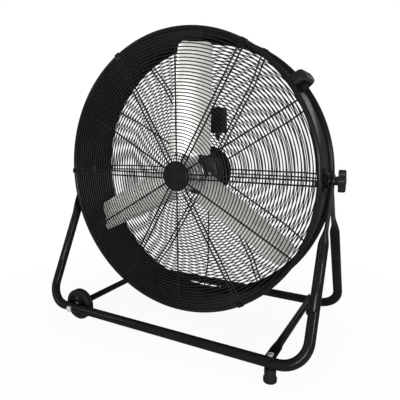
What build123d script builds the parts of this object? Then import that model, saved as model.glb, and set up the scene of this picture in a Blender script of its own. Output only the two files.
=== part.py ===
from build123d import *
import math
import os

# Drum fan on a two-wheeled tube stand. Millimetres, +Z up, front faces -Y.
# The origin is on the floor, in the middle of the footprint.
# Round sections are drawn with flats: a bar keeps its corners on its radius and a hole keeps
# its flats on its radius, so a bar turns freely in a hole that is wider by the clearance.
# The drum, the wheels and the washers' and brackets' rings have the flats of their outside on it.

# ---- drum ----
drum_radius = 390.0                   # outside of the rolled rims
drum_depth = 160.0
rim_height = 12.5                     # rolled rim, measured along the radius
rim_width = 12.5                      # rolled rim, measured along the axis
rim_corner = 3.5
rim_stand = 9.0                       # rims beyond the sheet between them
shell_wall = 1.5
lip_reach = 9.0                       # lip inwards of the rear rim
drum_clearance = 56.0                 # between the drum and the floor
drum_sides = 48

# ---- stand ----
tube_radius = 12.7
tube_sides = 12
bend_radius = 65.0
bend_steps = 3
frame_spread = 194.0                  # floor tubes in front of and behind the drum axis
leg_joint_height = 130.0              # plug joint, measured up the leg from the floor tube
plug_radius = 11.0
plug_length = 40.0
leg_bore_radius = 9.6
flat_thickness = 4.0                  # pressed flat ends of the tubes
flat_half_width = 19.0
flat_length = 118.0
flat_blend = 45.0
cross_bar_radius = 9.5
cross_bar_bore_radius = 7.5
cross_bar_inset = 80.0                # from the leg tubes, towards the middle
cross_bar_flat_half_width = 13.0
cross_bar_flat_length = 39.0
cross_bar_blend = 30.0
cross_bolt_radius = 4.0
bolt_head_height = 5.3
bolt_head_flats = 13.0
nut_height = 6.5
foot_radius = 16.0
foot_neck_radius = 14.0
foot_base_height = 11.0
foot_saddle_height = 3.0              # how far the foot wraps up round the tube
foot_bevel_width = 1.5
nut_recess_radius = 8.5
nut_recess_depth = 12.0

# ---- wheels ----
wheel_radius = 46.0
wheel_width = 24.0
wheel_sides = 16
wheel_inset = 95.0                    # from the leg tubes, towards the middle
tyre_depth = 11.0
tyre_crown = 4.0
hub_rim_wall = 3.0
hub_web = 5.0
hub_boss_radius = 13.0
hub_proud = 1.0                       # boss beyond the tyre, each side
axle_radius = 5.0
axle_head_flats = 17.0
axle_head_height = 6.4
washer_thickness = 3.0
washer_radius = 10.0

# ---- guards ----
wire_thickness = 3.0                  # ring wire
spoke_thickness = 4.5
ring_count = 8
inner_ring_radius = 48.0
outer_ring_inset = 5.5                # outer ring's middle, inwards of the rims
small_ring_sides = 12
large_ring_sides = 24
large_ring_radius = 200.0             # rings from this size up have the larger number of sides
spoke_pairs = 6                       # paired spokes, with a single one between each two
pair_spacing = 12.5                   # between the two wires of a paired spoke
ledge_width = 6.0                     # flat outer stretch of a rear spoke inside the lip
kink_inset = 68.5                     # bend of the rear guard, inwards of the lip
kink_rise = 28.0                      # rear face of the rear guard there, behind the rear rim
plate_rise = 37.0                     # rear face of the rear guard at its centre, behind the rear rim
guard_plate_radius = 42.0
spoke_start_radius = 36.0
badge_radius = 39.0
badge_thickness = 3.0
badge_bevel = 1.0
clip_count = 6
clip_width = 14.0
clip_thickness = 1.5
clip_lead = 2.0                       # clip's inner end beyond the outer ring's middle
screw_head_radius = 4.2
screw_head_height = 2.6

# ---- motor and impeller ----
motor_radius = 66.0
motor_sides = 16
motor_wall = 2.5
motor_front = 40.0                    # front edge of the motor's shell
cover_thickness = 6.0
front_boss_height = 8.0
motor_plate_radius = 78.0
motor_plate_thickness = 3.0
plate_bolt_circle_radius = 58.0
plate_bolt_shank_radius = 2.5
plate_bolt_head_radius = 4.5
plate_bolt_head_height = 3.5
bearing_radius = 17.5
bearing_width = 11.0
bearing_wall = 6.5                    # cover's wall round a bearing
shaft_radius = 7.0
shaft_relief = 2.0                    # cover's hole beyond the shaft
rotor_radius = 35.5
air_gap = 0.5
stator_length = 42.0
stator_setback = 10.0
hub_radius = 20.0
hub_length = 26.0
hub_lead = 16.0                       # hub's front end, ahead of the blades' middle
flange_radius = 34.0
flange_thickness = 4.0
blade_count = 3
first_blade_angle = 86.0              # from +X towards +Z
blade_plane = -10.0                   # middle of the blades along Y, where the drum has its middle at 0
blade_root_radius = 58.0
blade_tip_gap = 17.5                  # between the blades and the shell
blade_root_chord = 118.0
blade_tip_chord = 94.0
blade_pitch = 18.0
blade_thickness = 2.0
blade_camber_radius = 210.0
camber_flats = 5
blade_corner = 16.0
arm_root_chord = 52.0
arm_tip_chord = 40.0
arm_corner = 8.0
arm_thickness = 3.0
arm_start_radius = 38.0
arm_end_radius = 118.0
spider_radius = 46.0
rivet_inset = 13.0                    # rivets from the ends of the lap between arm and blade
rivet_shank_radius = 2.4
rivet_head_radius = 3.8
rivet_head_height = 1.8
rivet_taper = 25.0                    # degrees

# ---- pivots and knobs ----
stud_radius = 5.0
stud_head_radius = 9.0
stud_head_height = 3.0
stud_inset = 4.0                      # stud's end below the knob's face
bracket_flange_radius = 30.0
bracket_foot_radius = 18.0
bracket_neck_radius = 13.0
bracket_thickness = 2.5
bracket_height = 11.0                 # top of the bracket above the shell
rivet_circle_radius = 25.5
friction_washer_thickness = 1.7
friction_washer_radius = 19.0
clamp_washer_thickness = 2.0
clamp_washer_radius = 12.0
knob_length = 56.0
knob_wing_width = 20.0
knob_wing_corner = 6.0
knob_thickness = 17.0
knob_bevel = 3.0
knob_core_radius = 16.5
knob_boss_radius = 11.0
knob_boss_height = 8.0

# ---- handle ----
handle_flat = 5                       # the drum's flat under the handle, counted up from +X
handle_length = 124.0
handle_height = 37.0
handle_width = 28.0
handle_corner = 12.0
handle_bevel = 3.0
handle_lean = 6.0
grip_thickness = 14.0
handle_foot_length = 22.0
handle_screw_reach = 12.0
handle_screw_shank_radius = 2.5
handle_screw_head_radius = 5.0
handle_screw_head_height = 2.5

# ---- control box ----
box_width = 40.0
box_height = 78.0
box_depth = 30.0
box_corner = 4.0
box_bevel = 2.0
box_cover_depth = 10.0
box_x = 22.0
box_rise = 155.0                      # box centre above the drum axis
box_wall = 2.5
switch_width = 28.0
switch_depth = 20.0
switch_nut_radius = 12.0
dial_radius = 17.0
dial_base = 4.0
dial_height = 13.0
dial_grip = 10.0
spindle_radius = 3.0
spindle_inset = 2.0
gland_radius = 8.0
gland_neck_radius = 6.0
gland_bore_radius = 3.5
gland_nut_height = 8.0
gland_length = 14.0

# ---- clearances ----
running = 0.05                        # radial, shaft in hole
seat_gap = 0.1                        # faces at rest against each other
side_gap = 0.3                        # between a turning piece and its neighbour

bar_sides = 12
small_sides = 8
hex_sides = 6

# ---- sizes that follow from these ----
axis_height = drum_radius + drum_clearance
pivot_rise = axis_height - wheel_radius  # drum axis above the floor tubes
pivot_centre = Vector(0, 0, axis_height)
front_rim = -drum_depth / 2
rear_rim = drum_depth / 2
front_bead = front_rim + rim_width
rear_bead = rear_rim - rim_width
bead_inner = drum_radius - rim_height
shell_radius = drum_radius - rim_stand  # outside of the sheet between the rims
shell_inner = shell_radius - shell_wall
intake_lip_radius = bead_inner - lip_reach
bracket_top = shell_radius + bracket_height
flat_inner = bracket_top + friction_washer_thickness + side_gap  # inner face of the inner pair of flats
leg_offset = flat_inner + flat_thickness  # leg tubes to each side of the middle
flat_split = leg_offset + side_gap    # inner face of the outer pair of flats
flat_outer = flat_split + flat_thickness
wheel_x = wheel_inset - leg_offset
cross_bar_x = leg_offset - cross_bar_inset
outer_ring_radius = bead_inner - outer_ring_inset
kink_radius = intake_lip_radius - kink_inset
kink_depth = rear_rim + kink_rise
rear_plate_depth = rear_rim + plate_rise
blade_tip_radius = shell_inner - blade_tip_gap
hub_front = blade_plane - hub_lead


def outward(angle):
    """Unit vector away from the drum axis, at the angle from +X towards +Z."""
    return Vector(math.cos(math.radians(angle)), 0, math.sin(math.radians(angle)))


def sideways(angle):
    """Unit vector round the drum axis at the same angle."""
    return Vector(-math.sin(math.radians(angle)), 0, math.cos(math.radians(angle)))


def axial(depth, angle=0):
    """Plane square to the drum axis, seen from the front; its x lies at the angle from +X."""
    return Plane(origin=(0, depth, axis_height), x_dir=outward(angle), z_dir=(0, -1, 0))


def pivot_plane(side, reach):
    """Plane square to the pivot axis at this distance from the middle, facing outwards."""
    return Plane(origin=(side * reach, 0, axis_height), x_dir=(0, 1, 0), z_dir=(side, 0, 0))


def save(piece, name):
    piece.part.label = name
    export_step(piece.part, f"parts/{name}.step")


def rod(plane, radius, length, sides=bar_sides):
    """Bar from the plane along its normal, with its corners on the radius."""
    with BuildSketch(plane) as section:
        RegularPolygon(radius, sides, rotation=180 / sides)
    extrude(section.sketch, amount=length)


def bore(plane, radius, length, sides=bar_sides):
    """Hole from the plane along its normal, with its flats on the radius."""
    with BuildSketch(plane) as section:
        RegularPolygon(radius, sides, major_radius=False, rotation=180 / sides)
    extrude(section.sketch, amount=length, mode=Mode.SUBTRACT)


def hexagon(plane, across_flats, height):
    with BuildSketch(plane) as section:
        RegularPolygon(across_flats / 2, hex_sides, major_radius=False)
    extrude(section.sketch, amount=height)


def flat_ring(middle, outline, sides):
    """Ring with flats about the plane's normal: the outline is given as radius and distance along it."""
    reach = max(radius for radius, along in outline)
    corner = reach / math.cos(math.pi / sides)
    turns = [(2 * step + 1) * math.pi / sides for step in range(sides)]
    corners = [(corner * math.cos(turn), corner * math.sin(turn)) for turn in turns]
    with BuildLine(middle) as loop:
        Polyline((reach, 0), *corners, close=True)
    with BuildSketch(Plane(origin=middle.origin, x_dir=middle.x_dir, z_dir=-middle.y_dir)) as section:
        with BuildLine():
            Polyline(*outline, close=True)
        make_face()
    sweep(section.sketch, path=loop.line, transition=Transition.RIGHT)


def flat_to_round(flat_plane, half_thickness, half_width, round_plane, radius):
    """Stretch of tube between a flat end and the round, side by parallel side."""
    flat_corner = half_thickness / math.cos(math.pi / tube_sides)
    corners = []
    for step in range(tube_sides):
        turn = (2 * step + 1) * math.pi / tube_sides
        shift = math.copysign(half_width - half_thickness, math.sin(turn))
        flat_point = (flat_corner * math.cos(turn), flat_corner * math.sin(turn) + shift, 0)
        round_point = (radius * math.cos(turn), radius * math.sin(turn), 0)
        corners.append(flat_plane.from_local_coords(flat_point))
        corners.append(round_plane.from_local_coords(round_point))
    ConvexPolyhedron(corners)


os.makedirs("parts", exist_ok=True)

# =============================== stand ===============================


def leg_direction(front):
    """Unit vector from the pivot down the leg; front is -1 or +1."""
    return Vector(0, front * frame_spread, -pivot_rise).normalized()


leg_length = math.hypot(frame_spread, pivot_rise)
tube_bore_radius = plug_radius + running


def bend_points(side):
    """Centre line of the bend between the upright on this side and the floor tube."""
    points = []
    for step in range(bend_steps + 1):
        turn = math.pi / 2 * step / bend_steps
        reach = leg_offset - bend_radius * (1 - math.cos(turn))
        points.append((side * reach, bend_radius * (1 - math.sin(turn))))
    return points


def floor_frame(front):
    """Lower U of one end frame: the floor tube and the uprights' lower ends."""
    down = leg_direction(front)
    lean = Plane(
        origin=pivot_centre + down * leg_length,
        x_dir=(1, 0, 0),
        z_dir=Vector(1, 0, 0).cross(-down),
    )
    mouth = Plane(
        origin=pivot_centre + down * (leg_length - leg_joint_height) - Vector(leg_offset, 0, 0),
        x_dir=(1, 0, 0),
        z_dir=down,
    )
    floor_y = front * frame_spread
    axle_start = (wheel_x, floor_y - tube_radius, wheel_radius)
    with BuildPart() as frame:
        with BuildLine(lean) as route:
            Polyline(
                (-leg_offset, leg_joint_height),
                *bend_points(-1),
                *reversed(bend_points(1)),
                (leg_offset, leg_joint_height),
            )
        with BuildSketch(mouth):
            RegularPolygon(tube_radius, tube_sides, rotation=180 / tube_sides)
        sweep(path=route.line, transition=Transition.RIGHT)
        with BuildSketch(mouth):
            RegularPolygon(tube_bore_radius, tube_sides, major_radius=False, rotation=180 / tube_sides)
        sweep(path=route.line, transition=Transition.RIGHT, mode=Mode.SUBTRACT)
        bore(
            Plane(origin=axle_start, x_dir=(1, 0, 0), z_dir=(0, 1, 0)),
            axle_radius + running,
            2 * tube_radius,
            small_sides,
        )
        bore(
            Plane(origin=(cross_bar_x, floor_y, wheel_radius - tube_radius), z_dir=(0, 0, 1)),
            cross_bolt_radius + running,
            2 * tube_radius,
            small_sides,
        )
    return frame


front_floor_frame = floor_frame(-1)
save(front_floor_frame, "front_floor_frame")
rear_floor_frame = floor_frame(1)
save(rear_floor_frame, "rear_floor_frame")


def upper_leg(front, side):
    """Upper leg tube with a flat eye at the pivot and a plug at its lower end."""
    down = leg_direction(front)
    inner = flat_split if front < 0 else flat_inner
    eye_plane = Plane(origin=(side * inner, 0, axis_height), x_dir=down, z_dir=(side, 0, 0))
    flat_middle = Vector(side * (inner + flat_thickness / 2), 0, 0)
    tube_middle = Vector(side * leg_offset, 0, 0)
    tube_length = leg_length - leg_joint_height - flat_length - flat_blend
    blend_start = Plane(
        origin=pivot_centre + down * flat_length + flat_middle,
        x_dir=(1, 0, 0),
        z_dir=down,
    )
    tube_start = Plane(
        origin=pivot_centre + down * (flat_length + flat_blend) + tube_middle,
        x_dir=(1, 0, 0),
        z_dir=down,
    )
    with BuildPart() as leg:
        with BuildSketch(eye_plane):
            RegularPolygon(flat_half_width, tube_sides, major_radius=False)
            with Locations((flat_length / 2, 0)):
                Rectangle(flat_length, 2 * flat_half_width)
        extrude(amount=flat_thickness)
        flat_to_round(blend_start, flat_thickness / 2, flat_half_width, tube_start, tube_radius)
        rod(tube_start, tube_radius, tube_length, tube_sides)
        rod(tube_start.offset(tube_length), plug_radius, plug_length, tube_sides)
        bore(tube_start, leg_bore_radius, tube_length + plug_length, tube_sides)
        bore(eye_plane, stud_radius + running, flat_thickness)
    return leg


for front, front_name in ((-1, "front"), (1, "rear")):
    for side, side_name in ((-1, "left"), (1, "right")):
        leg = upper_leg(front, side)
        save(leg, f"{front_name}_{side_name}_leg")

# Cross bar at the foot side: its flat ends lie on the floor tubes.
bar_seat = wheel_radius + tube_radius + seat_gap
bar_axis = bar_seat + flat_thickness / 2
bar_flat_start = frame_spread - cross_bar_flat_length
bar_tube_half = bar_flat_start - cross_bar_blend
with BuildPart() as side_cross_bar:
    for front in (-1, 1):
        bolt_point = Plane(origin=(cross_bar_x, front * frame_spread, bar_seat), z_dir=(0, 0, 1))
        flat_centre = (cross_bar_x, front * (frame_spread + bar_flat_start) / 2)
        with BuildSketch(bolt_point):
            RegularPolygon(cross_bar_flat_half_width, bar_sides, major_radius=False)
        with BuildSketch(Plane.XY.offset(bar_seat)):
            with Locations(flat_centre):
                Rectangle(2 * cross_bar_flat_half_width, cross_bar_flat_length)
        extrude(amount=flat_thickness)
        bar_flat_end = Plane(
            origin=(cross_bar_x, front * bar_flat_start, bar_axis),
            x_dir=(0, 0, 1),
            z_dir=(0, -front, 0),
        )
        flat_to_round(
            bar_flat_end,
            flat_thickness / 2,
            cross_bar_flat_half_width,
            bar_flat_end.offset(cross_bar_blend),
            cross_bar_radius,
        )
        bore(bolt_point, cross_bolt_radius + running, flat_thickness, small_sides)
    bar_middle = Plane(origin=(cross_bar_x, -bar_tube_half, bar_axis), x_dir=(0, 0, 1), z_dir=(0, 1, 0))
    rod(bar_middle, cross_bar_radius, 2 * bar_tube_half, tube_sides)
save(side_cross_bar, "side_cross_bar")

# Rubber feet under the floor tubes, with a saddle for the tube and a recess for the nut.
foot_height = wheel_radius - tube_radius


def foot(front):
    ground = Plane(origin=(cross_bar_x, front * frame_spread, 0), z_dir=(0, 0, 1))
    saddle = Plane(
        origin=(cross_bar_x - foot_radius, front * frame_spread, wheel_radius),
        x_dir=(0, 1, 0),
        z_dir=(1, 0, 0),
    )
    with BuildPart() as rubber:
        rod(ground, foot_radius, foot_base_height)
        chamfer(rubber.edges().group_by(Axis.Z)[-1], foot_bevel_width)
        rod(ground, foot_neck_radius, foot_height + foot_saddle_height)
        bore(saddle, tube_radius + seat_gap, 2 * foot_radius, tube_sides)
        bore(ground, cross_bolt_radius + seat_gap, foot_height + foot_saddle_height, small_sides)
        bore(ground, nut_recess_radius, nut_recess_depth, small_sides)
    return rubber


front_foot = foot(-1)
save(front_foot, "front_foot")
rear_foot = foot(1)
save(rear_foot, "rear_foot")

bolt_seat = bar_seat + flat_thickness + seat_gap
nut_base = nut_recess_depth - seat_gap - nut_height
with BuildPart() as cross_bar_bolts:
    for front in (-1, 1):
        bolt_axis = Plane(origin=(cross_bar_x, front * frame_spread, 0), z_dir=(0, 0, 1))
        hexagon(bolt_axis.offset(bolt_seat), bolt_head_flats, bolt_head_height)
        rod(bolt_axis.offset(nut_base), cross_bolt_radius, bolt_seat - nut_base, small_sides)
        hexagon(bolt_axis.offset(nut_base), bolt_head_flats, nut_height)
save(cross_bar_bolts, "cross_bar_bolts")

# ============================== wheels ===============================
hub_half_width = wheel_width / 2 + hub_proud
wheel_centre = frame_spread - tube_radius - seat_gap - washer_thickness - side_gap - hub_half_width


def wheel_plane(y):
    return Plane(origin=(wheel_x, y, wheel_radius), x_dir=(1, 0, 0), z_dir=(0, 1, 0))


def tyre(centre_y):
    """Solid rubber tyre with a crowned tread; a flat lies on the floor."""
    half = wheel_width / 2
    outline = [
        (wheel_radius - tyre_crown, half),
        (wheel_radius - tyre_depth, half),
        (wheel_radius - tyre_depth, -half),
        (wheel_radius - tyre_crown, -half),
        (wheel_radius, tyre_crown - half),
        (wheel_radius, half - tyre_crown),
    ]
    with BuildPart() as rubber:
        flat_ring(wheel_plane(centre_y), outline, wheel_sides)
    return rubber


def wheel_hub(centre_y):
    """Moulded wheel centre: rim, thin web and boss."""
    rim_radius = wheel_radius - tyre_depth - seat_gap
    recess_depth = (wheel_width - hub_web) / 2
    side_face = wheel_plane(centre_y - wheel_width / 2)
    boss_face = wheel_plane(centre_y - hub_half_width)
    with BuildPart() as hub:
        rod(side_face, rim_radius / math.cos(math.pi / wheel_sides), wheel_width, wheel_sides)
        for recess in (side_face, side_face.offset(wheel_width - recess_depth)):
            bore(recess, rim_radius - hub_rim_wall, recess_depth)
        rod(boss_face, hub_boss_radius, 2 * hub_half_width)
        bore(boss_face, axle_radius + running, 2 * hub_half_width)
    return hub


for front, front_name in ((-1, "front"), (1, "rear")):
    save(tyre(front * wheel_centre), f"{front_name}_tyre")
    save(wheel_hub(front * wheel_centre), f"{front_name}_wheel_hub")

spacer_end = wheel_centre - hub_half_width - side_gap
with BuildPart() as axle_tube:
    rod(wheel_plane(-spacer_end), cross_bar_radius, 2 * spacer_end)
    bore(wheel_plane(-spacer_end), cross_bar_bore_radius, 2 * spacer_end)
save(axle_tube, "axle_tube")

with BuildPart() as wheel_washers:
    for front in (-1, 1):
        inner_face = front * (frame_spread - tube_radius - seat_gap - washer_thickness)
        seat = Plane(origin=(wheel_x, inner_face, wheel_radius), z_dir=(0, front, 0))
        rod(seat, washer_radius, washer_thickness, small_sides)
        bore(seat, axle_radius + running, washer_thickness, small_sides)
save(wheel_washers, "wheel_washers")

axle_face = frame_spread + tube_radius + seat_gap
with BuildPart() as axle_rod:
    rod(wheel_plane(-axle_face), axle_radius, 2 * axle_face + axle_head_height)
    hexagon(wheel_plane(-axle_face - axle_head_height), axle_head_flats, axle_head_height)
save(axle_rod, "axle_rod")
with BuildPart() as axle_nut:
    hexagon(wheel_plane(axle_face), axle_head_flats, axle_head_height)
    bore(wheel_plane(axle_face), axle_radius + running, axle_head_height)
save(axle_nut, "axle_nut")

# =============================== drum ================================
handle_angle = handle_flat * 360 / drum_sides
drum_middle = Plane(origin=pivot_centre, x_dir=(1, 0, 0), z_dir=(0, 1, 0))
drum_outline = [
    (bead_inner, front_rim),
    (drum_radius - rim_corner, front_rim),
    (drum_radius, front_rim + rim_corner),
    (drum_radius, front_bead),
    (shell_radius, front_bead),
    (shell_radius, rear_bead),
    (drum_radius, rear_bead),
    (drum_radius, rear_rim - rim_corner),
    (drum_radius - rim_corner, rear_rim),
    (bead_inner, rear_rim),
    (intake_lip_radius, rear_rim - shell_wall),
    (intake_lip_radius, rear_rim - 2 * shell_wall),
    (bead_inner, rear_rim - 2 * shell_wall),
    (bead_inner, rear_bead),
    (shell_inner, rear_bead),
    (shell_inner, front_bead),
    (bead_inner, front_bead),
]
half_handle = handle_length / 2
handle_screw_step = half_handle - handle_foot_length / 2
handle_base = Plane(
    origin=pivot_centre + outward(handle_angle) * (shell_radius + seat_gap),
    x_dir=(0, 1, 0),
    z_dir=outward(handle_angle),
)

with BuildPart() as drum_shell:
    flat_ring(drum_middle, drum_outline, drum_sides)
    for side in (-1, 1):
        bore(pivot_plane(side, bead_inner), stud_radius + running, drum_radius - bead_inner)
    with BuildSketch(handle_base.offset(-shell_radius + bead_inner)):
        with Locations((-handle_screw_step, 0), (handle_screw_step, 0)):
            RegularPolygon(handle_screw_shank_radius + running, small_sides, major_radius=False)
    extrude(amount=drum_radius - bead_inner, mode=Mode.SUBTRACT)
save(drum_shell, "drum_shell")

# ------------------------------ guards -------------------------------
ring_pitch = (outer_ring_radius - inner_ring_radius) / (ring_count - 1)
spoke_outer = bead_inner - side_gap
ledge_radius = intake_lip_radius - ledge_width
spoke_spread = pair_spacing / 2 + spoke_thickness / 2


def ring_sides(radius):
    return small_ring_sides if radius < large_ring_radius else large_ring_sides


def ring_outline(radius):
    """Outline of one guard ring, for a sketch that holds no smaller ring yet."""
    RegularPolygon(radius + wire_thickness / 2, ring_sides(radius))
    RegularPolygon(radius - wire_thickness / 2, ring_sides(radius), mode=Mode.SUBTRACT)


def rear_spoke_depth(radius):
    """Rear face of the rear guard's spokes at this radius."""
    rim_face = rear_rim + spoke_thickness
    if radius >= ledge_radius:
        return rim_face
    if radius >= kink_radius:
        share = (ledge_radius - radius) / (ledge_radius - kink_radius)
        return rim_face + share * (kink_depth - rim_face)
    share = (kink_radius - radius) / (kink_radius - spoke_start_radius)
    return kink_depth + share * (rear_plate_depth - kink_depth)


front_ring_face = front_rim - seat_gap
spoke_reach = spoke_outer - spoke_start_radius
spoke_middle = spoke_start_radius + spoke_reach / 2
with BuildPart() as front_guard:
    with BuildSketch(axial(front_ring_face)):
        for step in reversed(range(ring_count)):
            ring_outline(inner_ring_radius + step * ring_pitch)
    extrude(amount=wire_thickness)
    with BuildSketch(axial(front_rim)):
        with PolarLocations(spoke_middle, spoke_pairs):
            with Locations((0, -pair_spacing / 2), (0, pair_spacing / 2)):
                Rectangle(spoke_reach, spoke_thickness)
        with PolarLocations(spoke_middle, spoke_pairs, start_angle=180 / spoke_pairs):
            Rectangle(spoke_reach, spoke_thickness)
    extrude(amount=-spoke_thickness)
save(front_guard, "front_guard")

with BuildPart() as front_guard_plate:
    rod(axial(front_ring_face), guard_plate_radius, wire_thickness, motor_sides)
save(front_guard_plate, "front_guard_plate")
with BuildPart() as badge_disc:
    rod(axial(front_ring_face - wire_thickness - seat_gap), badge_radius, badge_thickness, motor_sides)
    chamfer(badge_disc.faces().sort_by(Axis.Y)[0].edges(), badge_bevel)
save(badge_disc, "badge_disc")

with BuildPart() as rear_guard:
    for step in range(ring_count):
        radius = inner_ring_radius + step * ring_pitch
        nearest = radius - wire_thickness / 2 - spoke_spread * math.tan(math.pi / ring_sides(radius))
        with BuildSketch(axial(rear_spoke_depth(nearest) + seat_gap)):
            ring_outline(radius)
        extrude(amount=-wire_thickness)
    for step in range(2 * spoke_pairs):
        angle = step * 180 / spoke_pairs
        spoke_offsets = (0,) if step % 2 else (-pair_spacing / 2, pair_spacing / 2)
        for offset in spoke_offsets:
            start = pivot_centre + sideways(angle) * (offset - spoke_thickness / 2)
            with BuildSketch(Plane(origin=start, x_dir=outward(angle), z_dir=sideways(angle))):
                with BuildLine():
                    Polyline(
                        (spoke_outer, rear_rim),
                        (ledge_radius, rear_rim),
                        (kink_radius, kink_depth - spoke_thickness),
                        (spoke_start_radius, rear_plate_depth - spoke_thickness),
                        (spoke_start_radius, rear_plate_depth),
                        (kink_radius, kink_depth),
                        (ledge_radius, rear_rim + spoke_thickness),
                        (spoke_outer, rear_rim + spoke_thickness),
                        close=True,
                    )
                make_face()
            extrude(amount=spoke_thickness)
save(rear_guard, "rear_guard")

# Clips hold the paired spokes on the rims; each is a bent strip.
clip_inner = outer_ring_radius + clip_lead
clip_outer = drum_radius + seat_gap + clip_thickness
clip_screw_radius = bead_inner + rim_height / 2
clip_angles = [step * 360 / clip_count for step in range(clip_count)]


def clip_strip(angle, outline):
    """Strip with the given section in the plane of the axis and the spoke."""
    start = pivot_centre - sideways(angle) * clip_width / 2
    with BuildSketch(Plane(origin=start, x_dir=outward(angle), z_dir=sideways(angle))) as section:
        with BuildLine():
            Polyline(*outline, close=True)
        make_face()
    extrude(section.sketch, amount=clip_width)


front_clip_face = front_rim - seat_gap
front_clip_outline = [
    (clip_inner, front_clip_face),
    (clip_outer - clip_thickness, front_clip_face),
    (clip_outer - clip_thickness, front_bead),
    (clip_outer, front_bead),
    (clip_outer, front_clip_face - clip_thickness),
    (clip_inner, front_clip_face - clip_thickness),
]
rear_clip_face = rear_rim + seat_gap
rear_clip_top = rear_rim + spoke_thickness + seat_gap
clip_step = bead_inner + seat_gap
rear_clip_outline = [
    (clip_inner, rear_clip_top),
    (clip_step, rear_clip_top),
    (clip_step, rear_clip_face),
    (clip_outer - clip_thickness, rear_clip_face),
    (clip_outer - clip_thickness, rear_bead),
    (clip_outer, rear_bead),
    (clip_outer, rear_clip_face + clip_thickness),
    (clip_step + clip_thickness, rear_clip_face + clip_thickness),
    (clip_step + clip_thickness, rear_clip_top + clip_thickness),
    (clip_inner, rear_clip_top + clip_thickness),
]
with BuildPart() as front_guard_clips:
    for angle in clip_angles:
        clip_strip(angle, front_clip_outline)
save(front_guard_clips, "front_guard_clips")
with BuildPart() as rear_guard_clips:
    for angle in clip_angles:
        clip_strip(angle, rear_clip_outline)
save(rear_guard_clips, "rear_guard_clips")

# The screws show as heads on the clips.
with BuildPart() as clip_screws:
    for face, toward in ((front_clip_face - clip_thickness, 1), (rear_clip_face + clip_thickness, -1)):
        with BuildSketch(axial(face - toward * seat_gap)):
            with PolarLocations(clip_screw_radius, clip_count):
                RegularPolygon(screw_head_radius, hex_sides)
        extrude(amount=toward * screw_head_height)
save(clip_screws, "clip_screws")

# ------------------------------ pivots -------------------------------
bracket_seat = shell_radius + seat_gap
knob_face = flat_outer + side_gap + clamp_washer_thickness + side_gap
knob_head_face = knob_face + knob_boss_height
stud_end = knob_head_face + knob_thickness - stud_inset
bracket_outline = [
    (bracket_flange_radius, bracket_seat),
    (bracket_flange_radius, bracket_seat + bracket_thickness),
    (bracket_foot_radius + bracket_thickness, bracket_seat + bracket_thickness),
    (bracket_neck_radius, bracket_top),
    (stud_radius + running, bracket_top),
    (stud_radius + running, bracket_top - bracket_thickness),
    (bracket_neck_radius - bracket_thickness / 2, bracket_top - bracket_thickness),
    (bracket_foot_radius, bracket_seat),
]


def pivot_bracket(side):
    """Dished bracket on the shell, with a hole for the stud in its top."""
    with BuildPart() as bracket:
        flat_ring(pivot_plane(side, 0), bracket_outline, bar_sides)
    return bracket


left_pivot_bracket = pivot_bracket(-1)
save(left_pivot_bracket, "left_pivot_bracket")
right_pivot_bracket = pivot_bracket(1)
save(right_pivot_bracket, "right_pivot_bracket")

with BuildPart() as pivot_rivets:
    for side in (-1, 1):
        with BuildSketch(pivot_plane(side, bracket_seat + bracket_thickness + seat_gap)):
            with PolarLocations(rivet_circle_radius, 4, start_angle=45):
                RegularPolygon(rivet_head_radius, hex_sides)
        extrude(amount=rivet_head_height, taper=rivet_taper)
save(pivot_rivets, "pivot_rivets")

stud_head_seat = shell_inner - seat_gap
with BuildPart() as pivot_studs:
    for side in (-1, 1):
        rod(pivot_plane(side, stud_head_seat), stud_head_radius, -stud_head_height)
        rod(pivot_plane(side, stud_head_seat), stud_radius, stud_end - stud_head_seat)
save(pivot_studs, "pivot_studs")

with BuildPart() as friction_washers:
    for side in (-1, 1):
        seat = pivot_plane(side, bracket_top + seat_gap / 2)
        rod(seat, friction_washer_radius, friction_washer_thickness, small_sides)
        bore(seat, stud_radius + running, friction_washer_thickness, small_sides)
save(friction_washers, "friction_washers")
with BuildPart() as clamp_washers:
    for side in (-1, 1):
        seat = pivot_plane(side, flat_outer + side_gap)
        rod(seat, clamp_washer_radius, clamp_washer_thickness, small_sides)
        bore(seat, stud_radius + running, clamp_washer_thickness, small_sides)
save(clamp_washers, "clamp_washers")


def clamp_knob(side):
    """Two-winged hand knob with a round boss and a blind hole for the stud."""
    head_plane = Plane(
        origin=(side * knob_head_face, 0, axis_height),
        x_dir=(0, 0, 1),
        z_dir=(side, 0, 0),
    )
    with BuildPart() as knob:
        rod(pivot_plane(side, knob_face), knob_boss_radius, knob_boss_height)
        with BuildSketch(head_plane) as head:
            wings = Rectangle(knob_length, knob_wing_width)
            chamfer(wings.vertices(), knob_wing_corner)
            RegularPolygon(knob_core_radius, bar_sides, rotation=180 / bar_sides)
        extrude(amount=knob_thickness)
        outer = knob.faces().sort_by(Axis.X)[0 if side < 0 else -1]
        chamfer(outer.edges(), knob_bevel)
        bore(pivot_plane(side, knob_face), stud_radius + running, stud_end + side_gap - knob_face)
    return knob


left_clamp_knob = clamp_knob(-1)
save(left_clamp_knob, "left_clamp_knob")
right_clamp_knob = clamp_knob(1)
save(right_clamp_knob, "right_clamp_knob")

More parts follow.
